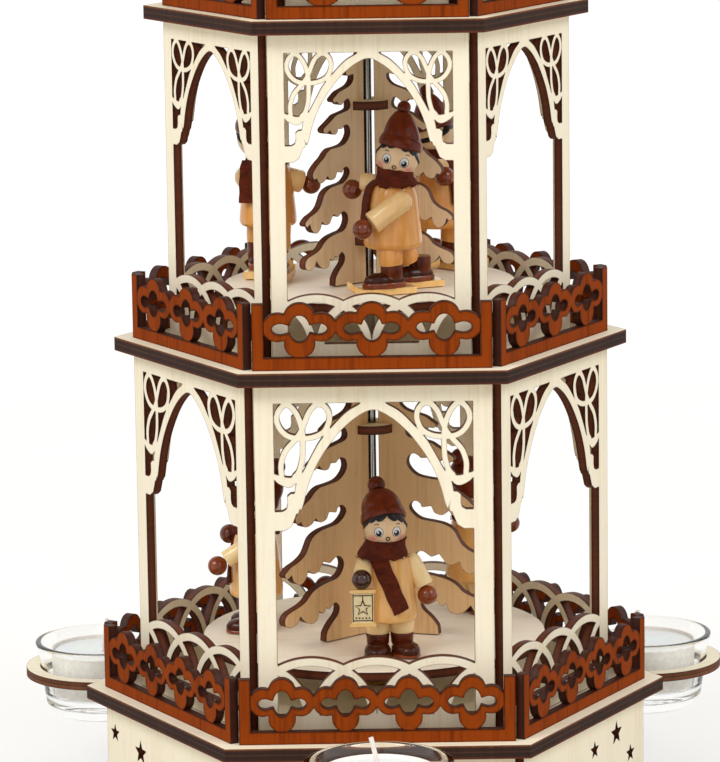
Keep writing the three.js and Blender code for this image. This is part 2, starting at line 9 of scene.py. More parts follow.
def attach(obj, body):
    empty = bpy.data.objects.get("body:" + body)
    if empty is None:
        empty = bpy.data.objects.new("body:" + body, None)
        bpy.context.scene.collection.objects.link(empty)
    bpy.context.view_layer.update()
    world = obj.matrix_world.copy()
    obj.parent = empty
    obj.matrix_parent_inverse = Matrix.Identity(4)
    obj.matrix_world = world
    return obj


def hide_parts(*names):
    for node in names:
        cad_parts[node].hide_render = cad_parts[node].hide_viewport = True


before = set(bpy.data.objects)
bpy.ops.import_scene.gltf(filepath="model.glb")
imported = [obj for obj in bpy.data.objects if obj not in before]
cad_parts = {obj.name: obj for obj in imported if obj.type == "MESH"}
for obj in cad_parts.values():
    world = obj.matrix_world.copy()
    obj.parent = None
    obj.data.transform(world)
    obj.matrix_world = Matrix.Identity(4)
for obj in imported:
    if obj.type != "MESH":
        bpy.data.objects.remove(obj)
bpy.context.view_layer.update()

# Lengths below are millimetres in the CAD frame, unless a name says otherwise.
MM = 0.001
TURN = pi / 3
PLY = 3.0
DECK_PLY = 4.6
BLADE_PLY = 1.6
GAP = 0.3
BASE_RADIUS = 100.0
SETBACK = 12.5
BASE_HEIGHT = 45.0
FIRST_HEIGHT = 122.5
DROP = 9.3
BURN_BAND, RAIL_BURN_BAND = 0.35, 0.75
WALL_SETBACK, RAIL_SETBACK, PANEL_SETBACK = 5.2, 4.8, 18.8
TABLE_SHARE = 0.87
TABLE_RISE = 15.0
TABLE_TOP = TABLE_RISE + PLY


def apothem(radius):
    return radius * cos(pi / 6)


def corner(distance):
    return distance / cos(pi / 6)


def side_at(distance):
    return 2 * distance * tan(pi / 6)


def deck_radius(level):
    return BASE_RADIUS - level * SETBACK


def storey_height(level):
    return FIRST_HEIGHT - level * DROP


def panel_distance(level):
    return apothem(deck_radius(level)) - PANEL_SETBACK


def deck_top(level):
    return BASE_HEIGHT + sum(storey_height(k) for k in range(level))


def table_radius(level):
    return TABLE_SHARE * panel_distance(level)


# Plane fields: negative inside the material, in millimetres from its outline
def segment(U, V, a, b):
    dx, dy = b[0] - a[0], b[1] - a[1]
    t = np.clip(((U - a[0]) * dx + (V - a[1]) * dy) / max(dx * dx + dy * dy, 1e-12), 0, 1)
    return np.hypot(U - a[0] - t * dx, V - a[1] - t * dy)


def stroke(U, V, points, width):
    field = np.full(U.shape, 1e3)
    for a, b in zip(points, points[1:]):
        field = np.minimum(field, segment(U, V, a, b))
    return field - width / 2


def polygon(U, V, points):
    field = np.full(U.shape, 1e3)
    inside = np.zeros(U.shape, bool)
    for a, b in zip(points, [*points[1:], points[0]]):
        field = np.minimum(field, segment(U, V, a, b))
        if a[1] != b[1]:
            crosses = (V >= min(a[1], b[1])) & (V < max(a[1], b[1]))
            at = a[0] + (V - a[1]) * (b[0] - a[0]) / (b[1] - a[1])
            inside ^= crosses & (U < at)
    return np.where(inside, -field, field)


def ellipse(U, V, cu, cv, a, b):
    k = np.hypot((U - cu) / a, (V - cv) / b)
    slope = np.hypot((U - cu) / a ** 2, (V - cv) / b ** 2)
    return np.where(slope > 1e-9, k * (k - 1) / np.maximum(slope, 1e-9), -min(a, b))


def rectangle(U, V, cu, cv, half_u, half_v):
    du = np.abs(U - cu) - half_u
    dv = np.abs(V - cv) - half_v
    return np.hypot(np.maximum(du, 0), np.maximum(dv, 0)) + np.minimum(np.maximum(du, dv), 0)


def blend_in(first, second, soft):
    near = np.maximum(soft - np.abs(first - second), 0) / soft
    return np.minimum(first, second) - near * near * soft / 4


def flowing(points, steps=5, closed=False):
    """Points on a smooth line through the given ones."""
    count = len(points)
    line = []
    for k in range(count if closed else count - 1):
        if closed:
            four = [points[(k + j) % count] for j in (-1, 0, 1, 2)]
        else:
            four = [points[min(max(k + j, 0), count - 1)] for j in (-1, 0, 1, 2)]
        p0, p1, p2, p3 = map(np.array, four)
        for t in np.arange(steps) / steps:
            line.append(tuple(0.5 * (2 * p1 + (p2 - p0) * t + (2 * p0 - 5 * p1 + 4 * p2 - p3) * t * t
                                     + (3 * p1 - p0 - 3 * p2 + p3) * t ** 3)))
    if not closed:
        line.append(tuple(points[-1]))
    return line


# Cut-sheet meshes
THIN_TOLERANCE, FEWEST_POINTS = 0.012, 8
BOTTOM, RIGHT, TOP, LEFT = range(4)
CROSSINGS = {
    1: ((BOTTOM, LEFT),), 2: ((RIGHT, BOTTOM),), 3: ((RIGHT, LEFT),), 4: ((TOP, RIGHT),),
    5: ((BOTTOM, LEFT), (TOP, RIGHT)), 6: ((TOP, BOTTOM),), 7: ((TOP, LEFT),), 8: ((LEFT, TOP),),
    9: ((BOTTOM, TOP),), 10: ((RIGHT, BOTTOM), (LEFT, TOP)), 11: ((RIGHT, TOP),),
    12: ((LEFT, RIGHT),), 13: ((BOTTOM, RIGHT),), 14: ((LEFT, BOTTOM),),
}


def thin(points):
    """Leaves out the points of a loop that lie on the line between their neighbours."""
    count = len(points)
    if count < FEWEST_POINTS:
        return points
    ring = np.vstack([points, points[:1]])
    far = int(np.argmax(np.hypot(*(points - points[0]).T)))
    keep = {0, far}
    spans = [(0, far), (far, count)]
    while spans:
        a, b = spans.pop()
        if b - a < 2:
            continue
        chord = ring[b] - ring[a]
        offset = ring[a + 1:b] - ring[a]
        reach = max(float(np.hypot(*chord)), 1e-9)
        away = np.abs(chord[0] * offset[:, 1] - chord[1] * offset[:, 0]) / reach
        most = int(np.argmax(away))
        if away[most] > THIN_TOLERANCE:
            keep.add(a + 1 + most)
            spans += [(a, a + 1 + most), (a + 1 + most, b)]
    return points[sorted(keep)]


def outlines(us, vs, field, level):
    """Closed loops where the field crosses a level, with the material on their left."""
    inside = (field < level).astype(int)
    code = inside[:-1, :-1] + 2 * inside[:-1, 1:] + 4 * inside[1:, 1:] + 8 * inside[1:, :-1]
    width = len(us)
    follow = {}
    rows, columns = np.nonzero((code > 0) & (code < 15))
    for row, column in zip(rows.tolist(), columns.tolist()):
        cell = row * width + column
        edges = (2 * cell, 2 * (cell + 1) + 1, 2 * (cell + width), 2 * cell + 1)
        for start, end in CROSSINGS[int(code[row, column])]:
            follow[edges[start]] = edges[end]
    loops = []
    while follow:
        first, following = follow.popitem()
        keys = [first]
        while following != first:
            keys.append(following)
            following = follow.pop(following)
        keys = np.array(keys)
        upright = keys % 2
        row, column = np.divmod(keys // 2, width)
        row2, column2 = row + upright, column + 1 - upright
        near = field[row, column] - level
        t = near / (near - field[row2, column2] + level)
        points = np.stack([us[column] + t * (us[column2] - us[column]),
                           vs[row] + t * (vs[row2] - vs[row])], 1)
        if len(points) > 5:
            loops.append(thin(points))
    return loops


def sampled(us, vs, field, points):
    u = np.clip((points[:, 0] - us[0]) / (us[1] - us[0]), 0, len(us) - 1.001)
    v = np.clip((points[:, 1] - vs[0]) / (vs[1] - vs[0]), 0, len(vs) - 1.001)
    i, j = u.astype(int), v.astype(int)
    a, b = u - i, v - j
    return ((field[j, i] * (1 - a) + field[j, i + 1] * a) * (1 - b)
            + (field[j + 1, i] * (1 - a) + field[j + 1, i + 1] * a) * b)


def cut_sheet(name, low, high, step, make, materials, thickness=PLY, upright=True, back=0.0,
              band=BURN_BAND):
    """A laser-cut piece: two faces that darken towards the cut, and the charred cut between them."""
    us = np.arange(low[0], high[0] + step / 2, step)
    vs = np.arange(low[1], high[1] + step / 2, step)
    field = make(*np.meshgrid(us, vs))
    rim = outlines(us, vs, field, 0.0)
    inner = outlines(us, vs, field, -band)
    points, edges = [], []
    for loop in rim + inner:
        start, count = len(points), len(loop)
        points += [Vector(p) for p in loop.tolist()]
        edges += [(start + k, start + (k + 1) % count) for k in range(count)]
    rim_count = sum(len(loop) for loop in rim)
    made, _, faces, sources, _, _ = delaunay_2d_cdt(points, edges, [], 0, 1e-6)
    flat = np.array([tuple(p) for p in made])
    faces = np.array(faces)
    faces = faces[sampled(us, vs, field, flat[faces].mean(1)) < 0]
    count = len(flat)
    place = {}
    burn = np.zeros(count)
    for index, origins in enumerate(sources):
        for origin in origins:
            place[origin] = index
            if origin < rim_count:
                burn[index] = 1.0
    front = np.column_stack([flat, np.full(count, back + thickness)])
    rear = np.column_stack([flat, np.full(count, back)])
    solid = np.vstack([front, rear])
    if upright:
        solid = np.column_stack([solid[:, 0], -solid[:, 2], solid[:, 1]])
    polygons = faces.tolist() + (faces[:, ::-1] + count).tolist()
    caps = len(polygons)
    start = 0
    for loop in rim:
        size = len(loop)
        for k in range(size):
            a, b = place[start + k], place[start + (k + 1) % size]
            if a != b:
                polygons.append([a, a + count, b + count, b])
        start += size
    mesh = bpy.data.meshes.new(name)
    mesh.from_pydata((solid * MM).tolist(), [], polygons)
    for label, values in (("burn", np.tile(burn, 2)),
                          ("depth", np.repeat([1.0, 0.0], count))):
        mesh.attributes.new(label, "FLOAT", "POINT").data.foreach_set("value", values)
    for material in materials:
        mesh.materials.append(material)
    slots = np.ones(len(polygons), int)
    slots[:caps] = 0
    mesh.polygons.foreach_set("material_index", slots)
    mesh.shade_smooth()
    mesh.set_sharp_from_angle(angle=radians(38))
    mesh.update()
    return mesh


# Turned meshes
class Shape:
    """Gathers pieces of surface with their materials into one mesh."""

    def __init__(self):
        self.points, self.faces, self.slots = [], [], []
        self.materials, self.tints = [], []

    def add(self, points, faces, material, matrix=None, tints=None):
        if matrix is not None:
            points = [matrix @ Vector(p) for p in points]
        if material not in self.materials:
            self.materials.append(material)
        start = len(self.points)
        self.points += [tuple(p) for p in points]
        self.tints += tints or [0.0] * len(points)
        self.faces += [[start + k for k in face] for face in faces]
        self.slots += [self.materials.index(material)] * len(faces)

    def turn(self, profile, sides, material, matrix=None, squeeze=(1.0, 1.0)):
        self.add(*lathe(profile, sides, squeeze), material, matrix)

    def wire(self, path, radius, sides, material, matrix=None):
        self.add(*tube(path, radius, sides), material, matrix)

    def mesh(self, name, sharp=40):
        made = bpy.data.meshes.new(name)
        made.from_pydata([tuple(c * MM for c in p) for p in self.points], [], self.faces)
        for material in self.materials:
            made.materials.append(material)
        made.polygons.foreach_set("material_index", self.slots)
        made.attributes.new("tint", "FLOAT", "POINT").data.foreach_set("value", self.tints)
        made.shade_smooth()
        made.set_sharp_from_angle(angle=radians(sharp))
        made.update()
        return made


def lathe(profile, sides, squeeze=(1.0, 1.0)):
    points, rings = [], []
    for radius, height in profile:
        if radius < 1e-6:
            rings.append([len(points)])
            points.append((0.0, 0.0, height))
        else:
            rings.append(list(range(len(points), len(points) + sides)))
            for k in range(sides):
                a = 2 * pi * k / sides
                x, y = radius * cos(a), radius * sin(a)
                points.append((squeeze[0] * x, squeeze[1] * y, height))
    faces = []
    for low, high in zip(rings, rings[1:]):
        for k in range(sides):
            a, b = low[k % len(low)], low[(k + 1) % len(low)]
            c, d = high[(k + 1) % len(high)], high[k % len(high)]
            face = [a, b, c, d]
            face = [p for i, p in enumerate(face) if p not in face[:i]]
            if len(face) > 2:
                faces.append(face)
    return points, faces


def ball(radius, steps=14):
    return [(radius * sin(pi * k / steps), -radius * cos(pi * k / steps))
            for k in range(steps + 1)]


def along(start, end):
    """Turns +Z to run from start to end, with its origin at start."""
    way = Vector(end) - Vector(start)
    return Matrix.Translation(start) @ way.to_track_quat("Z", "Y").to_matrix().to_4x4()


def sleeve(rings):
    """Joins rings of points, each with the same number of them, into a closed tube."""
    count = len(rings[0])
    points = [point for ring in rings for point in ring]
    faces = []
    for k in range(len(rings) - 1):
        for j in range(count):
            a, b = k * count + j, k * count + (j + 1) % count
            faces.append([a, b, b + count, a + count])
    faces += [list(range(count))[::-1], list(range(len(points) - count, len(points)))]
    return points, faces


def tube(path, radius, sides):
    path = [Vector(p) for p in path]
    angles = [2 * pi * j / sides for j in range(sides)]
    circle = [Vector((radius * cos(a), radius * sin(a), 0)) for a in angles]
    rings = []
    for k, place in enumerate(path):
        way = path[min(k + 1, len(path) - 1)] - path[max(k - 1, 0)]
        turn = way.to_track_quat("Z", "Y").to_matrix()
        rings.append([place + turn @ p for p in circle])
    return sleeve(rings)


PATCH_SIDES = 24


def on_ball(radius, across, up):
    """A point on a ball's front, from its distance across and up."""
    return Vector((across, -sqrt(max(radius ** 2 - across ** 2 - up ** 2, 0.0)), up))


def patch(radius, across, up, half_across, half_up, rings=4):
    """A painted oval on a ball's front."""
    sides = PATCH_SIDES
    points = [on_ball(radius, across, up)]
    faces = []
    for ring in range(1, rings + 1):
        for k in range(sides):
            a = 2 * pi * k / sides
            share = ring / rings
            points.append(on_ball(radius, across + half_across * share * cos(a),
                                  up + half_up * share * sin(a)))
    for k in range(sides):
        after = (k + 1) % sides
        faces.append([0, 1 + k, 1 + after])
        for ring in range(rings - 1):
            a, b = 1 + ring * sides + k, 1 + ring * sides + after
            faces.append([a, a + sides, b + sides, b])
    return points, faces


# Materials
def rgb(red, green, blue):
    def linear(value):
        value /= 255
        return value / 12.92 if value <= 0.04045 else ((value + 0.055) / 1.055) ** 2.4
    return (linear(red), linear(green), linear(blue), 1.0)


class Recipe:
    """The node tree of a material or a world."""

    def __init__(self, owner):
        self.owner = owner if isinstance(owner, bpy.types.ID) else bpy.data.materials.new(owner)
        self.owner.use_nodes = True
        self.tree = self.owner.node_tree
        self.tree.nodes.clear()

    def add(self, kind, inputs=None, output=0, **settings):
        node = self.tree.nodes.new("ShaderNode" + kind)
        for key, value in settings.items():
            setattr(node, key, value)
        for key, value in (inputs or {}).items():
            if isinstance(value, bpy.types.NodeSocket):
                self.tree.links.new(value, node.inputs[key])
            else:
                node.inputs[key].default_value = value
        return node.outputs[output] if node.outputs else None

    def place(self, scale):
        on_object = self.add("TexCoord", output="Object")
        return self.add("Mapping", {0: on_object, 3: scale})

    def noise(self, scale, detail=2.0, rough=0.5):
        return self.add("TexNoise", {"Vector": self.place(scale), "Scale": 1.0, "Detail": detail,
                                     "Roughness": rough})

    def mix(self, factor, first, second, kind="MIX"):
        return self.add("Mix", {0: factor, 6: first, 7: second}, 2, data_type="RGBA", blend_type=kind)

    def sums(self, kind, first, second):
        return self.add("Math", {0: first, 1: second}, operation=kind)

    def blend(self, first, second, share):
        return self.sums("ADD", self.sums("MULTIPLY", first, share),
                         self.sums("MULTIPLY", second, 1 - share))

    def ramp(self, factor, stops):
        node = self.tree.nodes.new("ShaderNodeValToRGB")
        self.tree.links.new(factor, node.inputs[0])
        elements = node.color_ramp.elements
        while len(elements) < len(stops):
            elements.new(0.5)
        for element, (position, colour) in zip(elements, stops):
            element.position = position
            element.color = colour if len(colour) == 4 else (*colour, 1.0)
        return node.outputs[0]

    def spread(self, factor, low, high):
        """Rescales a value so that low gives 0 and high gives 1."""
        return self.add("MapRange", {0: factor, 1: low, 2: high})

    def two_tone(self, factor, low, high, dark, light):
        return self.ramp(self.spread(factor, low, high), [(0.0, dark), (1.0, light)])

    def bump(self, height, depth_mm, strength):
        return self.add("Bump", {"Height": height, "Distance": depth_mm * MM, "Strength": strength})

    def shade(self, colour, rough, normal=None, **values):
        inputs = {"Base Color": colour, "Roughness": rough, "Specular IOR Level": 0.3}
        if normal is not None:
            inputs["Normal"] = normal
        for key, value in values.items():
            inputs[key.replace("_", " ")] = value
        return self.end(self.add("BsdfPrincipled", inputs))

    def end(self, shader, kind="Material"):
        self.add("Output" + kind, {0: shader})
        return self.owner

    def attribute(self, name):
        return self.add("Attribute", output=2, attribute_name=name)

    def by_ray(self, plain, seen):
        """One value for what lights the object, another for what the camera, gloss and glass see."""
        rays = ("Is Camera Ray", "Is Glossy Ray", "Is Transmission Ray")
        camera, gloss, glass = [self.add("LightPath", output=ray) for ray in rays]
        any_of_them = self.sums("MAXIMUM", camera, self.sums("MAXIMUM", gloss, glass))
        return self.add("MapRange", {0: any_of_them, 3: plain, 4: seen})


BURN_CURVE = [(0.0, 0.0), (0.35, 0.1), (0.75, 0.55), (1.0, 0.95)]


def ply_face(name, light, dark, burnt, grain=(900, 900, 36), contrast=1.0, gloss=0.55, shine=0.3):
    """Sanded plywood: fine streaks along the grain, pores, and browning next to the cut."""
    make = Recipe(name)
    streak = make.noise(grain, 3.0, 0.6)
    broad = make.noise(tuple(g * 0.13 for g in grain), 2.0)
    pores = make.noise(tuple(g * 2.6 for g in grain), 1.0)
    both = make.blend(streak, broad, 0.6)
    wood = make.ramp(make.spread(both, 0.5 - 0.2 * contrast, 0.5 + 0.2 * contrast),
                     [(0.0, dark), (0.55, light), (1.0, light)])
    fleck = make.spread(pores, 0.68, 0.8)
    wood = make.mix(make.sums("MULTIPLY", fleck, 0.35), wood, dark, "MULTIPLY")
    smoke = make.sums("SUBTRACT", make.noise((500, 500, 500)), 0.5)
    wave = make.sums("ADD", make.attribute("burn"), make.sums("MULTIPLY", smoke, 0.35))
    char = make.ramp(wave, [(at, (share,) * 3) for at, share in BURN_CURVE])
    colour = make.mix(char, wood, burnt)
    return make.shade(colour, gloss, make.bump(streak, 0.03, 0.5), Specular_IOR_Level=shine)


def ply_cut(name, stops, streak=(650, 25, 650), gloss=0.6):
    """The laser's cut: plies through the thickness and scorch streaks across them."""
    make = Recipe(name)
    layers = make.ramp(make.attribute("depth"), stops)
    scorch = make.noise(streak, 2.0, 0.6)
    patchy = make.noise((60, 60, 60), 2.0)
    shade = make.blend(scorch, patchy, 0.5)
    light = make.two_tone(shade, 0.35, 0.65, (0.55,) * 3, (1.0,) * 3)
    colour = make.mix(1.0, layers, light, "MULTIPLY")
    return make.shade(colour, gloss, make.bump(scorch, 0.05, 0.6))


def lacquer(name, light, dark, gloss=0.22, coat=0.5, shine=0.3):
    """Turned wood under a clear lacquer."""
    make = Recipe(name)
    streak = make.noise((500, 500, 60), 3.0, 0.6)
    broad = make.noise((70, 70, 40), 2.0)
    colour = make.two_tone(make.blend(streak, broad, 0.5), 0.36, 0.64, dark, light)
    return make.shade(colour, gloss, make.bump(streak, 0.02, 0.4), Coat_Weight=coat,
                      Coat_Roughness=0.12, Specular_IOR_Level=shine)


def felt(name, light, dark):
    make = Recipe(name)
    fuzz = make.noise((1500, 1500, 1500), 3.0, 0.7)
    folds = make.noise((220, 220, 420), 2.0)
    colour = make.two_tone(make.blend(fuzz, folds, 0.5), 0.35, 0.65, dark, light)
    return make.shade(colour, 0.95, make.bump(fuzz, 0.25, 0.9), Sheen_Weight=0.03, Sheen_Roughness=0.5)


def paint(name, colour, gloss):
    make = Recipe(name)
    wear = make.noise((700, 700, 700), 2.0)
    darker = tuple(c * 0.86 for c in colour[:3])
    shaded = make.two_tone(wear, 0.3, 0.7, darker, colour)
    return make.shade(shaded, gloss, make.bump(wear, 0.01, 0.3))


def metal(name, colour, dark, gloss, brush):
    make = Recipe(name)
    lines = make.noise(brush, 3.0, 0.7)
    shaded = make.two_tone(lines, 0.3, 0.7, dark, colour)
    rough = make.add("MapRange", {0: lines, 1: 0.2, 2: 0.8, 3: gloss * 0.7, 4: gloss * 1.4})
    return make.shade(shaded, rough, make.bump(lines, 0.01, 0.4), Metallic=1.0)


def clear_glass(name):
    """Pressed glass that lets the lamps' light through."""
    make = Recipe(name)
    ripple = make.noise((90, 90, 60), 2.0)
    body = make.add("BsdfPrincipled", {
        "Base Color": rgb(255, 255, 253), "Roughness": 0.015, "Transmission Weight": 1.0, "IOR": 1.46,
        "Normal": make.bump(ripple, 0.12, 0.25)})
    through = make.add("BsdfTransparent", {0: rgb(253, 254, 252)})
    lit = make.add("LightPath", output="Is Shadow Ray")
    return make.end(make.add("MixShader", {0: lit, 1: body, 2: through}))


def skin_paint(name):
    """Pale wood under lacquer, with red cheeks where the mesh is tinted."""
    make = Recipe(name)
    streak = make.noise((400, 400, 60), 2.0)
    wood = make.ramp(streak, [(0.3, rgb(244, 204, 158)), (0.7, rgb(250, 218, 176))])
    colour = make.mix(make.attribute("tint"), wood, rgb(240, 104, 124))
    return make.shade(colour, 0.32, make.bump(streak, 0.01, 0.3), Coat_Weight=0.3, Coat_Roughness=0.15)


def soft_wax(name):
    make = Recipe(name)
    mottle = make.noise((160, 160, 160), 2.0)
    colour = make.ramp(mottle, [(0.3, rgb(250, 249, 246)), (0.7, rgb(255, 255, 254))])
    return make.shade(colour, 0.4, make.bump(mottle, 0.15, 0.4), Subsurface_Weight=0.3,
                      Subsurface_Scale=0.002)


LIGHT, LIGHT_DARK = rgb(250, 239, 213), rgb(241, 224, 190)
CHAR = rgb(78, 38, 18)
PANEL_STOPS = [(0.0, rgb(40, 16, 8)), (0.16, rgb(92, 42, 18)), (0.5, rgb(116, 55, 24)),
               (0.84, rgb(90, 40, 17)), (1.0, rgb(34, 14, 7))]
RAIL_STOPS = [(0.0, rgb(44, 17, 7)), (0.5, rgb(84, 34, 12)), (1.0, rgb(40, 15, 6))]
DECK_STOPS = [(0.0, rgb(112, 50, 26)), (0.1, rgb(88, 44, 24)), (0.18, rgb(50, 25, 14)),
              (0.42, rgb(46, 23, 13)), (0.52, rgb(76, 48, 30)), (0.6, rgb(48, 25, 14)),
              (0.84, rgb(52, 26, 15)), (0.9, rgb(108, 60, 33)), (1.0, rgb(144, 94, 56))]
RING_STOPS = [(0.0, rgb(62, 36, 22)), (0.12, rgb(120, 68, 36)), (0.4, rgb(128, 78, 44)),
              (0.5, rgb(56, 30, 18)), (0.62, rgb(116, 64, 34)), (0.88, rgb(106, 58, 32)),
              (1.0, rgb(58, 34, 20))]
BLADE_STOPS = [(0.0, rgb(150, 100, 58)), (0.5, rgb(196, 152, 100)), (1.0, rgb(150, 100, 58))]
FLAT_GRAIN = (36, 900, 900)
FLAT_STREAK = (650, 650, 25)
panel_face = ply_face("panel_face", LIGHT, LIGHT_DARK, CHAR)
panel_cut = ply_cut("panel_cut", PANEL_STOPS)
flat_face = ply_face("flat_face", LIGHT, LIGHT_DARK, CHAR, FLAT_GRAIN)
deck_cut = ply_cut("deck_cut", DECK_STOPS, FLAT_STREAK, 0.8)
ring_cut = ply_cut("ring_cut", RING_STOPS, FLAT_STREAK, 0.7)
rail_face = ply_face("rail_face", rgb(140, 59, 9), rgb(86, 29, 4), rgb(40, 15, 6),
                     (760, 760, 50), 1.4, 0.7, 0.06)
rail_cut = ply_cut("rail_cut", RAIL_STOPS)
# The trees' boards are the light plywood painted darker and warmer as the shade inside the storeys: the
# deeper painted shade for the lowest storey, a lighter painted shade above it.
tree_face = ply_face("tree_face", rgb(230, 192, 142), rgb(206, 166, 116), CHAR)
tree_pale = ply_face("tree_pale", rgb(244, 216, 176), rgb(222, 190, 146), CHAR)
table_face = ply_face("table_face", rgb(250, 238, 218), rgb(240, 227, 204), rgb(96, 60, 38),
                      FLAT_GRAIN, 0.6)
table_cut = ply_cut("table_cut", PANEL_STOPS, FLAT_STREAK)
coat_tan = lacquer("coat_tan", rgb(252, 202, 130), rgb(236, 174, 98))
coat_cream = lacquer("coat_cream", rgb(255, 228, 170), rgb(250, 212, 148))
coat_amber = lacquer("coat_amber", rgb(240, 176, 94), rgb(220, 146, 68))
# The skiers' sleeves are their amber coat painted lighter, as a painted highlight where the arms face the
# lamps.
sleeve_tan = lacquer("sleeve_tan", rgb(255, 222, 162), rgb(250, 204, 138))
dark_brown = lacquer("dark_brown", rgb(80, 30, 12), rgb(42, 14, 6), gloss=0.2, coat=0.6)
boot_brown = lacquer("boot_brown", rgb(80, 32, 12), rgb(44, 16, 6), gloss=0.2, coat=0.12, shine=0.16)
ski_boot = lacquer("ski_boot", rgb(110, 44, 14), rgb(68, 24, 7), coat=0.15, shine=0.16)
mid_brown = lacquer("mid_brown", rgb(146, 64, 18), rgb(98, 36, 9), coat=0.4)
hat_brown = lacquer("hat_brown", rgb(128, 46, 9), rgb(74, 22, 4), gloss=0.28, coat=0.14, shine=0.18)
black_hair = paint("black_hair", rgb(22, 17, 17), 0.3)
white_paint = paint("white_paint", rgb(246, 246, 244), 0.3)
black_paint = paint("black_paint", rgb(10, 9, 10), 0.2)
line_paint = paint("line_paint", rgb(62, 36, 24), 0.4)
scarf_felt = felt("scarf_felt", rgb(114, 40, 11), rgb(62, 20, 5))
ski_wood = lacquer("ski_wood", rgb(252, 212, 142), rgb(240, 190, 112))
lamp_paper = paint("lamp_paper", rgb(255, 234, 184), 0.6)
skin = skin_paint("skin")
steel = metal("steel", rgb(196, 194, 188), rgb(120, 118, 112), 0.22, (900, 900, 30))
brass = metal("brass", rgb(206, 170, 96), rgb(150, 112, 52), 0.3, (60, 60, 900))
bush_wood = lacquer("bush_wood", rgb(170, 96, 46), rgb(118, 58, 24), gloss=0.35, coat=0.2)
glass = clear_glass("glass")
wax = soft_wax("wax")
cup = paint("cup", rgb(250, 246, 239), 0.35)
wick = paint("wick", rgb(240, 232, 224), 0.8)
blade_face = ply_face("blade_face", LIGHT, LIGHT_DARK, CHAR, (30, 700, 900), 1.2)
blade_cut = ply_cut("blade_cut", BLADE_STOPS, FLAT_STREAK)


# Pieces
def put(name, data, place=None):
    obj = bpy.data.objects.new(name, data)
    bpy.context.scene.collection.objects.link(obj)
    if place is not None:
        obj.matrix_world = place
    return obj


def piece(name, mesh, body, replaces=(), place=None):
    obj = put(name, mesh, place)
    if replaces:
        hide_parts(*replaces)
    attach(obj, body)


def turned_mesh(name, line, sides, material, sharp=40):
    shape = Shape()
    shape.turn(line, sides, material)
    return shape.mesh(name, sharp)


def shift(x, y, z):
    return Matrix.Translation((x, y, z))


def spin(angle, axis):
    return Matrix.Rotation(angle, 4, axis)


def spot(x, y, z):
    return shift(x * MM, y * MM, z * MM)


def turned(angle, x=0.0, y=0.0, z=0.0):
    return spin(angle, "Z") @ spot(x, y, z)


def hexagon(U, V, radius):
    return polygon(U, V, [(radius * cos(k * TURN), radius * sin(k * TURN)) for k in range(6)])


# Base box: floor, six walls with stars and notches for the candle arms
WALL_OUTER = apothem(BASE_RADIUS) - WALL_SETBACK
WALL_INNER = WALL_OUTER - PLY
WALL_HEIGHT = BASE_HEIGHT - DECK_PLY - GAP
SAG = 1.5
NECK = 26.0
STAR_RADIUS, STAR_WAIST = 4.2, 0.42
STARS = {1: [(0.53, 0.76, 1.0), (0.16, 0.71, 0.75), (0.77, 0.52, 0.75)],
         3: [(-0.55, 0.7, 1.0), (0.3, 0.62, 0.75)],
         5: [(-0.87, 0.74, 0.75), (-0.45, 0.67, 1.0)]}


def star_points(x, z, radius):
    tips = []
    for tip in range(10):
        reach = radius * (STAR_WAIST if tip % 2 else 1.0)
        angle = pi / 2 + tip * pi / 5
        tips.append((x + reach * cos(angle), z + reach * sin(angle)))
    return tips


def wall_field(U, V, side):
    half = (side_at(WALL_INNER) - GAP) / 2
    field = rectangle(U, V, 0, WALL_HEIGHT / 2, half, WALL_HEIGHT / 2)
    for x, z, size in STARS.get(side, []):
        star = star_points(x * half, z * WALL_HEIGHT, STAR_RADIUS * size)
        field = np.maximum(field, -polygon(U, V, star))
    if side % 2 == 0:
        notch = rectangle(U, V, 0, WALL_HEIGHT, NECK / 2 + GAP, PLY + SAG + GAP)
        field = np.maximum(field, -notch)
    return field


def base_box():
    floor = cut_sheet("base_floor", (-92, -84), (92, 84), 0.5,
                      lambda U, V: hexagon(U, V, corner(WALL_INNER + 0.1)),
                      [flat_face, deck_cut], upright=False)
    piece("base_floor", floor, "frame", ["base_box"])
    reach = (side_at(WALL_INNER) - GAP) / 2 + 1
    for side in range(6):
        name = f"base_wall_{side + 1}"
        wall = cut_sheet(name, (-reach, -1), (reach, WALL_HEIGHT + 1), 0.2,
                         lambda U, V: wall_field(U, V, side), [panel_face, panel_cut])
        piece(name, wall, "frame", place=turned(side * TURN, y=-WALL_INNER))


# Candle plate: a hexagon with three necks and rings
RING_BAND = 5.0
SEAT_RADIUS, RIM_RADIUS = 22.3, 24.2
RING_HOLE = SEAT_RADIUS + GAP
ARM_BLEND = 9.0
CANDLE_OFFSET = apothem(BASE_RADIUS) + 1.7 + RIM_RADIUS


def plate_field(U, V):
    field = hexagon(U, V, corner(WALL_INNER - GAP))
    holes = np.full(U.shape, -1e3)
    for arm in range(3):
        a = arm * 2 * TURN
        u = U * cos(a) + V * sin(a)
        v = -U * sin(a) + V * cos(a)
        neck = rectangle(u, v, 0, -(CANDLE_OFFSET + WALL_INNER) / 2, NECK / 2,
                         (CANDLE_OFFSET - WALL_INNER) / 2 + 6)
        hole = RING_HOLE - np.hypot(u, v + CANDLE_OFFSET)
        arm_field = blend_in(neck, -hole - RING_BAND, ARM_BLEND)
        field = np.minimum(field, np.where(-v > WALL_OUTER - 1, arm_field, neck))
        holes = np.maximum(holes, hole)
    return np.maximum(field, holes)


def candle_plate():
    plate = cut_sheet("candle_arms", (-136, -144), (136, 90), 0.5, plate_field,
                      [flat_face, ring_cut], upright=False)
    piece("candle_arms", plate, "frame", ["candle_plate"],
          spot(0, 0, WALL_HEIGHT - PLY - SAG))


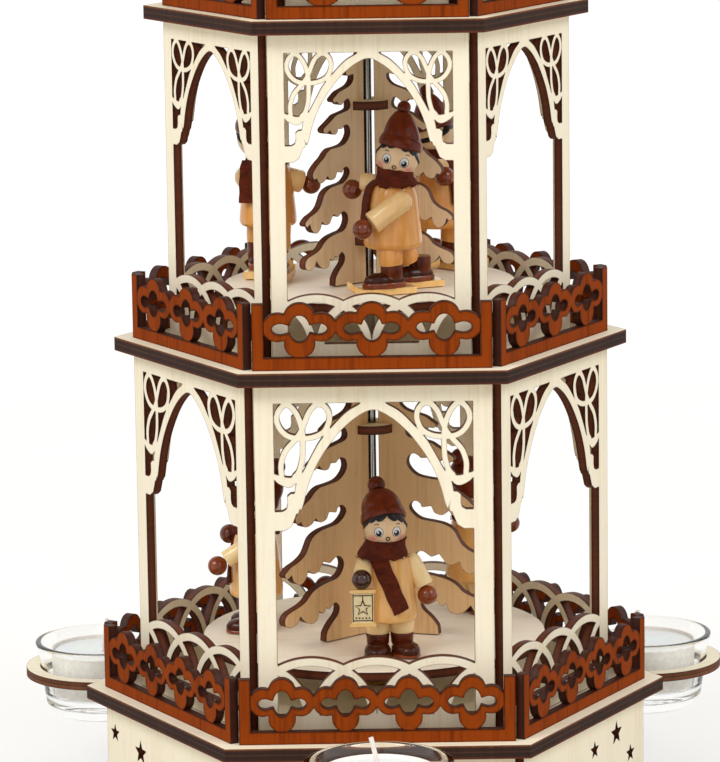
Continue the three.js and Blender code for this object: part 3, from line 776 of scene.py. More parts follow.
# Glasses with thick feet, and their tea lights
GLASS_HEIGHT = 26.8
GLASS_BOTTOM = BASE_HEIGHT + 4.2 - GLASS_HEIGHT - SAG
GLASS_FLOOR = 7.4
GLASS_LINE = [(0, 0.5), (10, 0.45), (13.5, 0.0), (15.6, 0.1), (18.3, 1.4), (20.2, 3.6), (20.9, 6.2),
              (21.5, 11.0), (22.2, 17.4), (23.2, 22.4), (23.9, 25.2), (24.15, 26.1), (24.0, 26.6),
              (23.2, 26.8), (22.4, 26.7), (21.95, 26.1), (21.5, 24.4), (20.7, 19.0), (19.8, 13.2),
              (19.1, 9.6), (18.7, 8.3), (17.4, 7.6), (12.0, GLASS_FLOOR), (0, GLASS_FLOOR)]
CUP_LINE = [(0, 0), (17.6, 0), (18.1, 0.4), (18.2, 15.2), (18.45, 15.6), (18.5, 16.0), (18.3, 16.3),
            (17.9, 16.2), (17.7, 15.8), (17.6, 14.5), (0, 14.3)]
WAX_LINE = [(17.65, 13.2), (17.65, 15.0), (17.1, 15.2), (12, 15.05), (4.5, 14.8), (1.4, 14.6), (0, 14.6)]
WICK_LINE = [(0.2, 0, 14.0), (-0.2, 0, 16.8), (-0.8, 0.1, 19.7), (-1.6, 0.2, 23.3), (-2.4, 0.3, 26.7)]


def tea_light():
    shape = Shape()
    shape.turn(CUP_LINE, 96, cup)
    shape.turn(WAX_LINE, 96, wax)
    shape.wire(flowing(WICK_LINE, 4), 0.8, 10, wick)
    return shape.mesh("tea_light_body", 35)


def candles():
    bowl_line = [(max(r, 0.0), z) for r, z in flowing(GLASS_LINE, 3)]
    bowl = turned_mesh("glass_bowl", bowl_line, 96, glass, 60)
    light = tea_light()
    for arm in range(3):
        tag = arm + 1
        at = turned(arm * 2 * TURN, y=-CANDLE_OFFSET, z=GLASS_BOTTOM)
        piece(f"glass_bowl_{tag}", bowl, f"glass_{tag}", [f"candle_glass_{tag}"], at)
        twist = spin(-pi / 2 if arm else 0.0, "Z")
        piece(f"tea_light_body_{tag}", light, f"light_{tag}", [f"tea_light_{tag}"],
              at @ spot(0, 0, GLASS_FLOOR + GAP) @ twist)


# Arch panel: its right half, drawn for the lowest storey
ARCH_INNER = [(-5.3, 107.6), (0, 109.9), (5.3, 107.6), (10.6, 103.1), (15.3, 97.2), (18.9, 91.3),
              (21.6, 84.8), (23.3, 78.4), (24.2, 76.3)]
ARCH_OUTER = [(26.2, 81.9), (25.7, 84.9), (24.6, 87.5), (23.3, 89.3), (20.3, 94.9), (17.6, 99.6),
              (13.4, 104.6), (8.7, 109.3), (4.3, 112.0), (2.5, 114.5), (-2.5, 114.5)]
RIBBON = [(30.3, 88.5), (30.4, 92.1), (29.0, 96.3), (26.3, 99.5), (24.0, 102.4), (22.6, 105.6),
          (20.9, 109.5), (18.6, 111.8), (16.2, 111.5), (14.5, 109.1), (14.5, 106.1), (16.1, 102.9),
          (19.3, 101.1), (23.1, 100.6), (27.2, 101.1), (30.0, 103.1), (31.6, 106.4), (31.1, 109.6),
          (29.0, 111.8), (27.0, 111.3), (25.0, 108.6), (23.7, 105.1), (23.2, 102.1), (23.2, 97.9),
          (23.4, 93.8), (24.5, 89.6), (25.9, 87.9)]
BULB = [(33.5, 89.0), (32.4, 86.6), (30.9, 85.3), (28.3, 84.2), (26.2, 85.0), (24.8, 87.9), (27.6, 87.6),
        (30.0, 88.0)]
BRACKET = [(34.5, 69.7), (29.5, 69.7), (27.3, 71.1), (26.2, 73.8), (25.6, 75.4), (25.0, 75.4), (24.6, 76.6),
           (25.2, 80.0), (25.6, 82.2), (27.4, 82.2), (28.6, 81.2), (28.5, 78.6), (28.9, 77.0), (30.2, 76.2),
           (34.5, 76.1)]
DRAWN_HALF, DRAWN_TOP = 32.7, 112.3
WINDOW_SHARE, HEAD_BAND, SILL = 0.834, 6.0, 6.5
ARC_BAND, ARC_RISE = 2.8, 0.9


def panel_field(U, V, width, height, arcs):
    """An arch with tracery, mirrored about its middle, over a fence of interlaced arcs."""
    half = width * WINDOW_SHARE / 2
    top, sill = height - HEAD_BAND, SILL
    size = half / DRAWN_HALF
    x = np.abs(U) / size
    z = (V - top) / size + DRAWN_TOP
    parts = polygon(x, z, flowing(ARCH_INNER, 5) + flowing(ARCH_OUTER, 5))
    parts = blend_in(parts, stroke(x, z, flowing(RIBBON, 4), 1.9), 0.5)
    parts = blend_in(parts, polygon(x, z, flowing(BULB, 4, True)), 0.5)
    parts = blend_in(parts, polygon(x, z, BRACKET), 0.4) * size
    window = rectangle(U, V, 0, (top + sill) / 2, half, (top - sill) / 2)
    pitch = 2 * half / arcs
    rise = pitch * ARC_RISE
    edge = ARC_BAND / 2
    bands = np.full(U.shape, 1e3)
    for k in range(-1, arcs + 1):
        centre = (k - (arcs - 1) / 2) * pitch
        ring = np.abs(ellipse(U, V, centre, sill, pitch - edge, rise - edge)) - edge
        bands = np.minimum(bands, ring)
    inside = blend_in(parts, bands, 0.3)
    field = blend_in(inside, -window, 0.4)
    return np.maximum(field, rectangle(U, V, 0, height / 2, width / 2, height / 2))


# Railings: a chain of four-lobed flowers between end posts
RAIL_HEIGHT, RAIL_POST, RAIL_FOOT = 22.0, 3.8, 4.2
FLOWER_WIDTH, FLOWER_MIDDLE = 20.8, 13.6


def railing_field(U, V, length, flowers):
    inside = length / 2 - RAIL_POST
    cell = 2 * inside / flowers
    stretch = cell / FLOWER_WIDTH
    field = rectangle(U, V, 0, RAIL_FOOT / 2, length / 2, RAIL_FOOT / 2)
    for hand in (-1, 1):
        post = rectangle(U, V, hand * (length - RAIL_POST) / 2, RAIL_HEIGHT / 2,
                         RAIL_POST / 2, RAIL_HEIGHT / 2)
        field = np.minimum(field, post)
    for flower in range(flowers):
        x = (U - inside + cell * (flower + 0.5)) / stretch
        z = V - FLOWER_MIDDLE
        lobes = ellipse(x, z, 0, 4.2, 4.45, 4.4)
        lobes = blend_in(lobes, ellipse(x, z, 0, -4.9, 4.5, 4.6), 0.6)
        lobes = blend_in(lobes, ellipse(x, z, 0, 0, 5.2, 5.0), 0.6)
        for hand in (-1, 1):
            lobes = blend_in(lobes, ellipse(x, z, hand * 6.3, 0.6, 4.4, 4.7), 0.6)
        slot = blend_in(ellipse(x, z, 0, 0.1, 2.9, 4.4), rectangle(x, z, 0, 0, 5.6, 1.2), 0.5)
        for hand in (-1, 1):
            slot = blend_in(slot, ellipse(x, z, hand * 5.6, 0, 2.35, 1.85), 0.8)
        field = blend_in(field, np.maximum(lobes, -slot), 0.6)
    return field


# Trees: one board's outline in the lowest storey, where a lone point is a sharp corner
TREE_LINE = [
    [(23.8, 0)], [(23.5, 2.8), (22.5, 4.5), (20.8, 6.4), (18.7, 8.2), (17.6, 9.9), (17.5, 11.6),
    (18.6, 12.9), (19.6, 13.1), (20.7, 12.3), (22.3, 11.4)], [(23.5, 12.1)], [(24.0, 10.8), (25.2, 10.3)],
    [(26.6, 11.2)], [(27.3, 8.8), (29.4, 7.6), (31.8, 8.0), (33.8, 9.3)], [(35.3, 11.0)], [(36.2, 9.3),
    (37.9, 8.1), (39.9, 7.8), (41.7, 8.5), (42.4, 9.8), (42.0, 11.4), (40.6, 12.7), (37.8, 13.7),
    (34.9, 14.6), (32.4, 15.9), (30.8, 17.5), (28.7, 19.0), (25.8, 20.1), (21.7, 21.0), (18.4, 21.6),
    (16.3, 23.2), (15.2, 25.5), (15.4, 27.4), (16.6, 28.8), (18.2, 29.2), (19.9, 28.3), (21.6, 27.4)],
    [(24.2, 28.5)], [(25.7, 26.6), (26.6, 25.3), (29.0, 24.8)], [(31.5, 26.2)], [(31.9, 24.6), (32.9, 23.1),
    (34.7, 22.0), (36.8, 22.6), (38.3, 24.0)], [(38.9, 25.9)], [(40.3, 25.0), (41.6, 25.4), (41.9, 26.5),
    (40.7, 27.7), (39.0, 28.8), (37.0, 29.5), (34.6, 30.6), (32.5, 32.2), (31.0, 34.6), (30.0, 36.5),
    (28.3, 38.1), (25.4, 39.3), (22.1, 39.9), (18.0, 40.5), (15.6, 41.8), (14.0, 43.6), (13.8, 45.1),
    (14.9, 46.4), (16.3, 46.7), (17.6, 45.9), (18.4, 44.6)], [(21.5, 45.2)], [(22.4, 43.2), (24.2, 42.3),
    (26.0, 42.4)], [(27.7, 43.9)], [(29.0, 42.4), (31.4, 41.5), (33.4, 42.0)], [(34.3, 43.6)],
    [(35.6, 43.2), (36.7, 44.2), (36.6, 45.8), (34.9, 47.7), (32.4, 49.6), (29.8, 51.2), (27.9, 53.0),
    (25.2, 54.4), (20.7, 54.9), (16.8, 55.7), (14.3, 57.5), (13.0, 59.9), (13.6, 62.3), (15.4, 63.3),
    (16.8, 62.8), (18.2, 61.8)], [(20.3, 62.0)], [(21.2, 60.3), (23.2, 59.9), (24.8, 60.8)], [(25.6, 61.8)],
    [(27.6, 60.6), (29.4, 61.2), (29.6, 62.6), (27.0, 64.2), (23.9, 66.0), (21.5, 67.4), (17.6, 68.2),
    (13.6, 69.2), (12.6, 71.0), (13.6, 73.2), (15.2, 73.2)], [(16.8, 72.2)], [(18.0, 71.2), (19.8, 71.6)],
    [(20.8, 72.6)], [(22.6, 72.4), (23.6, 73.6), (21.8, 75.0), (19.6, 76.4), (16.1, 77.4), (12.6, 78.6),
    (10.6, 80.6), (10.6, 82.8)], [(12.4, 82.6), (14.2, 82.4), (15.2, 83.8), (13.2, 86.0), (10.0, 87.4),
    (7.4, 89.2), (5.4, 92.0), (3.9, 94.6)],
]
TREE_SIZES = [(1.0, 1.0), (0.72, 0.86), (0.66, 0.8)]
TREE_INNER = 2.9


def tree_outline(level):
    """A half tree's outline, smooth along each run of points and sharp at the lone ones."""
    across, up = TREE_SIZES[level]
    line = [(TREE_INNER, 0.0)]
    for k, run in enumerate(TREE_LINE):
        if len(run) > 1:
            after = [TREE_LINE[k + 1][0]] if k + 1 < len(TREE_LINE) else []
            soft = flowing(TREE_LINE[k - 1][-1:] + run + after, 4)
            run = soft[4:-4] if after else soft[4:]
        line += [(x * across, z * up) for x, z in run]
    return line + [(TREE_INNER, TREE_LINE[-1][-1][1] * up)]


# What stands on a deck, level by level
TREE_TURN = radians(222)
FLOWERS = (4, 3, 2)
ARCS = (3, 3, 2)
LOWER_DISC_RISE, UPPER_DISC_SHARES, TREE_HEADROOM = 13, (0.74, 0.69, 0.69), 5
DISC_RADIUS, ROD_HOLE = 8.0, 1.8


def flat_disc(name, radius, step, materials):
    """A round disc with a hole for the rod."""
    reach = radius + 1
    return cut_sheet(name, (-reach, -reach), (reach, reach), step,
                     lambda U, V: np.maximum(np.hypot(U, V) - radius, ROD_HOLE - np.hypot(U, V)),
                     materials, upright=False)


def hexagon_board(name, radius, hole, reach, step):
    """A hexagonal plate, with a hole in it unless the hole's radius is negative."""
    return cut_sheet(name, (-reach[0], -reach[1]), reach, step,
                     lambda U, V: np.maximum(hexagon(U, V, radius), hole - np.hypot(U, V)),
                     [flat_face, deck_cut], DECK_PLY, upright=False)


def deck_and_walls(level):
    tag, top = level + 1, deck_top(level)
    radius = deck_radius(level)
    deck = hexagon_board(f"deck_board_{tag}", radius, 2.0 if level else -5.0, (radius + 1, radius), 0.5)
    piece(f"deck_board_{tag}", deck, "frame", [f"deck_{tag}"], spot(0, 0, top - DECK_PLY))
    inner = apothem(radius) - RAIL_SETBACK - PLY
    length = side_at(inner) - GAP
    rail = cut_sheet(f"railing_{tag}", (-length / 2 - 1, -1), (length / 2 + 1, RAIL_HEIGHT + 1), 0.2,
                     lambda U, V: railing_field(U, V, length, FLOWERS[level]),
                     [rail_face, rail_cut], band=RAIL_BURN_BAND)
    distance = panel_distance(level)
    width = side_at(distance) - GAP
    height = storey_height(level) - DECK_PLY - 2 * GAP
    panel = cut_sheet(f"fret_panel_{tag}", (-width / 2 - 1, -1), (width / 2 + 1, height + 1), 0.2,
                      lambda U, V: panel_field(U, V, width, height, ARCS[level]),
                      [panel_face, panel_cut])
    for side in range(6):
        name = f"{tag}_{side + 1}"
        piece(f"railing_{name}", rail, "frame",
              place=turned(side * TURN, y=-inner, z=top))
        piece(f"fret_panel_{name}", panel, "frame", [f"arch_panel_{name}"],
              turned(side * TURN, y=-distance, z=top + GAP))


def turntable(level):
    tag = level + 1
    disc = flat_disc(f"turn_disc_{tag}", table_radius(level), 0.4, [table_face, table_cut])
    piece(f"turn_disc_{tag}", disc, "rotor", [f"turntable_{tag}"],
          spot(0, 0, deck_top(level) + TABLE_RISE))


def tree(level):
    """Three boards round the rod, locked by two discs."""
    tag = level + 1
    foot = deck_top(level) + TABLE_TOP + GAP
    line = tree_outline(level)
    reach = max(x for x, z in line)
    tall = max(z for x, z in line)
    # The lowest storey's boards take the deeper painted shade, the upper storeys' boards a lighter painted
    # shade.
    board = cut_sheet(f"tree_board_{tag}", (0, -1), (reach + 1, tall + 1), 0.2,
                      lambda U, V: polygon(U, V, line),
                      [tree_pale if level else tree_face, panel_cut], back=-PLY / 2)
    washer = flat_disc(f"tree_washer_{tag}", DISC_RADIUS, 0.2, [flat_face, table_cut])
    for k in range(3):
        piece(f"tree_board_{tag}_{k + 1}", board, "rotor",
              [] if k else [f"tree_cross_{tag}"], turned(TREE_TURN + k * 2 * TURN, z=foot))
    height = storey_height(level) - DECK_PLY - TABLE_TOP - TREE_HEADROOM
    for k, rise in enumerate((LOWER_DISC_RISE, UPPER_DISC_SHARES[level] * height)):
        piece(f"tree_washer_{tag}_{k + 1}", washer, "rotor", place=spot(0, 0, foot + rise))


# Roof, bush, bearing and rod
ROOF_TOP = deck_top(3)
BEARING_HEIGHT, BEARING_DEPTH = 6.0, 3.6
ROD_TOP = ROOF_TOP + 34
ROD_FOOT = BASE_HEIGHT + 2 * GAP + BEARING_HEIGHT - BEARING_DEPTH
ROD_LENGTH = ROD_TOP - ROD_FOOT
BUSH_LINE = [(2.0, 0.2), (2.2, 0), (5.8, 0), (6.0, 0.2), (6.0, 4.9), (8.6, 4.9), (9.0, 5.3), (9.0, 6.7),
             (8.4, 7.2), (3.0, 7.3), (2.2, 7.1), (2.0, 6.7), (2.0, 0.2)]
BEARING_LINE = [(0, 0), (6.7, 0), (7.0, 0.3), (7.0, 5.5), (6.5, BEARING_HEIGHT), (3.5, BEARING_HEIGHT),
                (3.2, 5.8), (0, BEARING_HEIGHT - BEARING_DEPTH)]
ROD_LINE = [(0, 0), (0.4, 0.7), (1.5, 4.0), (1.5, ROD_LENGTH - 0.5), (1.1, ROD_LENGTH), (0, ROD_LENGTH)]


def roof_and_rod():
    under_roof = spot(0, 0, ROOF_TOP - DECK_PLY)
    roof = hexagon_board("roof_board", deck_radius(3), 6.3, (64, 58), 0.4)
    piece("roof_board", roof, "frame", ["roof_plate"], under_roof)
    bush = turned_mesh("guide_bush", BUSH_LINE, 64, bush_wood)
    piece("guide_bush", bush, "frame", ["roof_bush"], under_roof)
    bearing = turned_mesh("needle_cup", BEARING_LINE, 64, brass, 30)
    piece("needle_cup", bearing, "frame", ["bearing_cup"], spot(0, 0, BASE_HEIGHT + GAP))
    rod = turned_mesh("spindle", ROD_LINE, 32, steel)
    piece("spindle", rod, "rotor", ["spindle_rod"], spot(0, 0, ROD_FOOT))


base_box()
candle_plate()
candles()
for level in range(3):
    deck_and_walls(level)
    turntable(level)
    tree(level)
roof_and_rod()


# Turned figures, facing -Y, made of lacquered pieces
def limb(shape, start, end, r0, r1, material):
    length = (Vector(end) - Vector(start)).length
    line = [(0, -r0 * 0.75), (r0 * 0.5, -r0 * 0.62), (r0 * 0.86, -r0 * 0.3), (r0, 0.4),
            (r1, length - 0.5), (r1 * 0.94, length - 0.1), (r1 * 0.8, length), (0, length)]
    shape.turn(line, 32, material, along(start, end))


def eye(shape, place, radius, hand):
    x, z = hand * 3.0, -0.5
    layers = [(1.5, 1.74, black_paint, 0, 0), (1.34, 1.58, white_paint, 0, 0.03),
              (0.94, 1.0, black_paint, 0, -0.42), (0.34, 0.38, white_paint, -0.28, -0.02)]
    for layer, (across, up, material, dx, dz) in enumerate(layers, 1):
        shape.add(*patch(radius + 0.04 * layer, x + dx, z + dz, across, up), material, place)


def face(shape, place, radius):
    fade = [0.85] + [0.85 * (1 - ring / 5) ** 1.3 for ring in range(1, 6) for k in range(PATCH_SIDES)]
    for hand in (-1, 1):
        shape.add(*patch(radius + 0.03, hand * 4.7, -2.9, 2.0, 1.8, 5), skin, place, fade)
        eye(shape, place, radius, hand)
        brow = [on_ball(radius + 0.05, hand * x, z) for x, z in ((2.9, 2.0), (3.5, 2.25), (4.2, 1.95))]
        shape.wire(flowing(brow, 4), 0.13, 6, line_paint, place)
    ring = [on_ball(radius + 0.1, 0.62 * cos(a), -2.75 + 0.62 * sin(a))
            for a in np.linspace(0, 2 * pi, 21)]
    shape.wire(ring, 0.17, 6, line_paint, place)


HAIR_TURNS = [0, 8, 18, 28, 36, 43, 52, 59, 66, 78, 95, 130, 180]
HAIR_ENDS = [4.9, 4.0, 3.2, 3.0, 3.5, 2.8, 2.2, 2.5, 1.4, 0.4, -0.8, -1.8, -2.2]


def hair(shape, place, radius):
    columns = 120
    points, faces = [], []
    for k in range(columns):
        turn = -pi + 2 * pi * k / columns
        end = float(np.interp(abs(degrees(turn)) + (3 if turn > 0 else 0), HAIR_TURNS, HAIR_ENDS))
        for height, off in ((end, -0.1), (end + 0.05, 0.3), (end + 0.5, 0.5), (5.6, 0.5)):
            reach = sqrt(max((radius + off) ** 2 - height ** 2, 0.1))
            points.append((reach * sin(turn), -reach * cos(turn), height))
    for k in range(columns):
        a, b = 4 * k, 4 * ((k + 1) % columns)
        faces += [[a + j, b + j, b + j + 1, a + j + 1] for j in range(3)]
    shape.add(points, faces, black_hair, place)


HATS = {
    "short": [(6.6, 2.0), (7.3, 2.0), (7.75, 2.9), (7.65, 4.3), (7.2, 5.5), (6.95, 6.0), (6.9, 6.6),
              (6.6, 8.3), (5.8, 10.2), (4.6, 11.8), (3.0, 12.9), (0, 13.4)],
    "tall": [(6.2, 2.9), (7.0, 3.0), (7.5, 3.8), (7.3, 5.4), (6.8, 6.5), (6.4, 6.9), (6.3, 7.4),
             (5.7, 9.6), (4.6, 12.0), (3.3, 14.0), (2.2, 15.0), (0, 15.3)],
}
BOBBLES = {"short": (3.0, 15.2, 0.0), "tall": (2.3, 16.5, 0.17)}
HEAD_RADIUS, HAT_BRIM = 7.1, 6


def head(shape, centre, turn, tilt, lean, back, hat):
    place = shift(*centre) @ spin(turn, "Z") @ spin(tilt, "Y")
    shape.turn(ball(HEAD_RADIUS, 24), 64, skin, place)
    face(shape, place, HEAD_RADIUS)
    hair(shape, place, HEAD_RADIUS)
    crown = place @ spin(lean, "Y") @ spin(back, "X")
    knob, rise, bend = BOBBLES[hat]
    points, faces = lathe([(0, 4.5), *flowing(HATS[hat], 3)], 64)
    points = [(x - bend * max(z - HAT_BRIM, 0), y, z) for x, y, z in points]
    shape.add(points, faces, hat_brown, crown)
    shape.turn(ball(knob, 16), 40, hat_brown, crown @ shift(-bend * (rise - HAT_BRIM), 0, rise))


def collar(shape, line, top, bottom, seed):
    """A felt scarf wound round the neck, with loose fibres along its edges."""
    dice = np.random.default_rng(seed)
    points, faces = lathe(flowing(line, 3), 72)
    low, high = min(z for r, z in line), max(z for r, z in line)
    worn = []
    for x, y, z in points:
        a = atan2(y, x)
        swell = 1 + 0.022 * sin(3 * a + seed + z) + 0.012 * sin(11 * a + 2 * z)
        ragged = 0.35 * sin(7 * a + seed) + 0.2 * sin(17 * a)
        share = 1 - (z - low) / (high - low)
        side = top + (bottom - top) * share
        worn.append((x * swell + side, y * swell, z + ragged * share ** 3 - 0.3 * share))
    shape.add(worn, faces, scarf_felt)
    edges = ((line[2][0], low + 0.3, bottom, -1), (line[-2][0], high - 0.3, top, 1))
    for edge_r, edge_z, side, way in edges:
        for a in dice.uniform(0, 2 * pi, 46):
            root = Vector((edge_r * cos(a) + side, edge_r * sin(a), edge_z))
            out = Vector((cos(a + dice.normal(0, 0.5)), sin(a + dice.normal(0, 0.5)), way * 0.5))
            strand = [root, root + out * 0.45, root + out * 0.8 + Vector((0, 0, way * 0.2))]
            shape.wire(strand, 0.1, 5, scarf_felt)


def tail(shape, x0, z0, x1, z1, r0, r1):
    """The scarf's end, lying down the front of the coat."""
    steps = 16
    across = Vector((z0 - z1, 0, x1 - x0)).normalized()
    halves = (-2.85, -1.0, 1.0, 2.85)
    around = [(half, 0.0) for half in halves] + list(zip(halves[::-1], (0.7, 0.95, 0.95, 0.7)))
    rings = []
    for k in range(steps + 1):
        t = k / steps
        middle = Vector((x0 + (x1 - x0) * t, 0, z0 + (z1 - z0) * t))
        out = r0 + (r1 - r0) * t
        ring = []
        for half, lift in around:
            x, _, z = middle + across * (half + 0.12 * sin(5.3 * k + half))
            ring.append((x, -sqrt(max((out + lift) ** 2 - x ** 2, 1)), z))
        rings.append(ring)
    shape.add(*sleeve(rings), scarf_felt)


def side_tail(shape, place):
    """The scarf's end, hanging down one side of the coat."""
    wide, thick = 2.6, 1.0
    line = flowing([(-6.2, 37.6), (-8.6, 35.4), (-9.9, 31.5), (-10.5, 27.0), (-10.9, 23.6)], 4)
    section = ((thick * 0.7, -wide), (thick, 0), (thick * 0.7, wide), (0, wide), (0, -wide))
    rings = []
    for k, (x, z) in enumerate(line):
        fray = 0.1 * sin(5.1 * k)
        rings.append([(x - out, 1.0 + y + fray, z) for out, y in section])
    shape.add(*sleeve(rings), scarf_felt, place)


def block(shape, low, high, material, place):
    around = ((low[0], low[1]), (high[0], low[1]), (high[0], high[1]), (low[0], high[1]))
    rings = [[(x, y, z) for x, y in around] for z in (low[2], high[2])]
    shape.add(*sleeve(rings), material, place)


def lantern(shape, x, y, top):
    """A flat lantern board with a star on it, between two strips."""
    place = shift(x, y, top) @ spin(-0.12, "Z")
    half, tall = 3.65, 12.6
    block(shape, (-half, -0.6, -tall + 0.8), (half, 0.6, -0.8), lamp_paper, place)
    for low in (-tall, -1.1):
        block(shape, (-half - 0.7, -1.2, low), (half + 0.7, 1.2, low + 1.1), ski_wood, place)
    front = -0.72
    edge = half - 0.4
    star = []
    for k in range(11):
        reach = 1.1 if k % 2 else 2.7
        star.append((reach * sin(k * pi / 5), reach * cos(k * pi / 5) - tall / 2))
    lines = [[(side, -1.5), (side, 1.5 - tall)] for side in (-edge, edge)]
    lines += [[(-edge, z), (edge, z)] for z in (-2.0, 2.0 - tall)] + [[(0, -2.0), (0, -3.9)], star]
    for line in lines:
        shape.wire([(a, front, b) for a, b in line], 0.2 if line is star else 0.16, 6, line_paint, place)
    for a in (-2.2, -1.1, 0, 1.1, 2.2):
        shape.turn(ball(0.28, 6), 10, line_paint, place @ shift(a, front, 2.9 - tall))


def walker_legs(shape):
    trouser = [(0, 7.2), (3.5, 7.1), (4.0, 7.7), (4.15, 10), (4.1, 14.5), (0, 14.5)]
    ankle = [(0, 3.2), (3.4, 3.2), (3.8, 3.9), (3.85, 5.9), (4.0, 6.6), (3.8, 7.4), (3.2, 7.8), (0, 7.8)]
    sole = [(0, 0), (4.3, 0), (4.6, 0.3), (4.6, 0.8), (4.4, 1.05), (0, 1.05)]
    upper = [(0, 1.0), (4.3, 1.0), (4.5, 1.5), (4.4, 2.5), (3.8, 3.7), (2.6, 4.5), (0, 4.8)]
    for hand in (-1, 1):
        leg = shift(hand * 4.15, 0, 0)
        shape.turn(trouser, 40, coat_cream, leg)
        shape.turn(ankle, 40, ski_boot, leg)
        foot = shift(hand * 4.8, -3.3, 0) @ spin(hand * 0.24, "Z")
        shape.turn(sole, 40, mid_brown, foot, (1.0, 1.5))
        shape.turn(upper, 40, boot_brown, foot, (1.0, 1.5))


def ski(shape, x, y):
    thick = 2.1
    line = [(10.6, 0.1), (0, 0.0), (-6.5, 0.0), (-9.2, 0.35), (-11.2, 1.4), (-12.2, 2.6)]
    rings = []
    for reach, rise in flowing(line, 4):
        half = 3.3 - (0.9 if reach < -11.5 else 0.0)
        rings.append([(reach, -half, rise), (reach, half, rise), (reach, half, rise + thick),
                      (reach, -half, rise + thick)])
    shape.add(*sleeve(rings), ski_wood, shift(x, y, 0))


def skier_legs(shape):
    trouser = [(0, 9.4), (3.6, 9.4), (3.95, 10.2), (4.0, 11.9), (3.9, 17.6), (0, 17.6)]
    ankle = [(0, 5), (3.5, 5), (3.7, 6), (3.75, 9.7), (3.5, 10.5), (0, 10.7)]
    sole = [(0, 0), (3.7, 0), (3.9, 0.3), (3.9, 1.6), (3.7, 1.9), (0, 1.9)]
    upper = [(0, 1.8), (3.7, 1.8), (3.8, 2.4), (3.4, 3.7), (2.4, 4.8), (0, 5.2)]
    for x, y, slant in ((-3.4, -3.9, 0.0), (10.6, 5.8, 0.4)):
        shape.turn(trouser, 40, coat_amber, shift(x - 0.2, y, 0) @ spin(-slant, "Y"))
        shape.turn(ankle, 40, ski_boot, shift(x, y, 0))
        toe = shift(x - 2.6, y, 2.1)
        shape.turn(sole, 44, mid_brown, toe, (2.0, 1.0))
        shape.turn(upper, 44, boot_brown, toe, (1.95, 1.0))
        ski(shape, x - 2.9, y)


COATS = {
    "short": [(0, 12.1), (7.4, 12.0), (8.8, 12.4), (9.3, 13.7), (9.1, 18), (8.4, 25), (7.6, 30.6),
              (6.9, 33.5), (5.2, 35.5), (0, 35.9)],
    "tall": [(0, 15.0), (7.8, 14.9), (9.3, 15.4), (9.8, 16.8), (9.5, 21), (8.9, 27), (8.3, 31.9),
             (7.4, 34.9), (5.4, 37.0), (0, 37.4)],
}
COLLARS = {
    "short": [(6.0, 34.3), (7.9, 34.1), (8.5, 34.8), (8.1, 36.1), (7.3, 37.6), (6.8, 38.8), (6.6, 39.5),
              (5.7, 39.9)],
    "tall": [(5.2, 36.2), (7.1, 36.0), (7.4, 36.7), (6.6, 38.2), (6.1, 39.9), (6.1, 41.4), (6.0, 42.0),
             (5.3, 42.3)],
}
# Each arm as shoulder, wrist and the middle of the hand
NEAR_ARM = ((-0.3, -7.4, 31.6), (-11.1, -6.0, 24.2), (-14.2, -5.4, 22.4))
ARMS = {
    "bearer": [((-8.6, -1.2, 32.0), (-10.2, -6.3, 28.8), (-10.6, -7.8, 27.8)),
               ((7.6, -0.4, 32.2), (11.7, -2.7, 23.6), (12.5, -3.1, 20.3))],
    "walker": [((-6.6, -1.0, 31.8), (-8.2, -7.6, 31.7), (-8.5, -10.4, 31.6)),
               ((7.0, -1.2, 31.4), (8.8, -9.2, 26.2), (9.3, -12.0, 24.2))],
    "skier": [NEAR_ARM, ((-4.7, 5.0, 36.0), (-9.6, 7.8, 36.6), (-12.2, 8.8, 34.0))],
    "glider": [NEAR_ARM, ((-2.5, 4.5, 31.6), (-6.3, 11.2, 29.2), (-7.9, 14.0, 28.2))],
}
HAND_RADIUS = 3.35
STOUT_SLEEVE, SLIM_SLEEVE = 3.75, 2.95


def arms(shape, kind, sleeve_colour):
    for shoulder, wrist, hand in ARMS[kind]:
        stout = kind == "glider" or (shoulder, wrist, hand) == NEAR_ARM
        thick = STOUT_SLEEVE if stout else SLIM_SLEEVE
        limb(shape, shoulder, wrist, thick, thick + 0.15, sleeve_colour)
        gloved = kind == "bearer" and hand[0] < 0
        shape.turn(ball(HAND_RADIUS), 36, dark_brown if gloved else mid_brown, shift(*hand))


def standing_figure(kind, seed):
    """A child in a coat with a scarf: the bearer holds a lantern, a walker nothing."""
    shape = Shape()
    walker_legs(shape)
    shape.turn(flowing(COATS["short"], 3), 64, coat_tan)
    arms(shape, kind, coat_cream)
    collar(shape, COLLARS["short"], -1.1, -2.3, seed)
    tail(shape, -4.7, 34.4, 2.6, 16.3, 7.2, 9.5)
    head(shape, (-1.2, -0.4, 43.9), -0.03, 0.0, -0.14, -0.55, "short")
    if kind == "bearer":
        lantern(shape, -10.5, -8.6, 24.6)
    return shape


def skiing_figure(kind, seed):
    """A child on skis. The glider is seen from behind, and its scarf hangs on its other side."""
    gliding = kind == "glider"
    shape = Shape()
    skier_legs(shape)
    shape.turn(flowing(COATS["tall"], 3), 64, coat_amber, shift(-1.1, 0.4, 0))
    # The sleeves carry a painted highlight: the coat's colour made lighter.
    arms(shape, kind, sleeve_tan)
    collar(shape, COLLARS["tall"], 0.1, -0.5, seed)
    side_tail(shape, shift(-2.6, -3.5, 0) @ spin(pi, "Z") if gliding else None)
    head(shape, (0.6, -2.3 if gliding else -0.4, 45.2), -0.47, 0.24, 0.0, -0.14, "tall")
    return shape


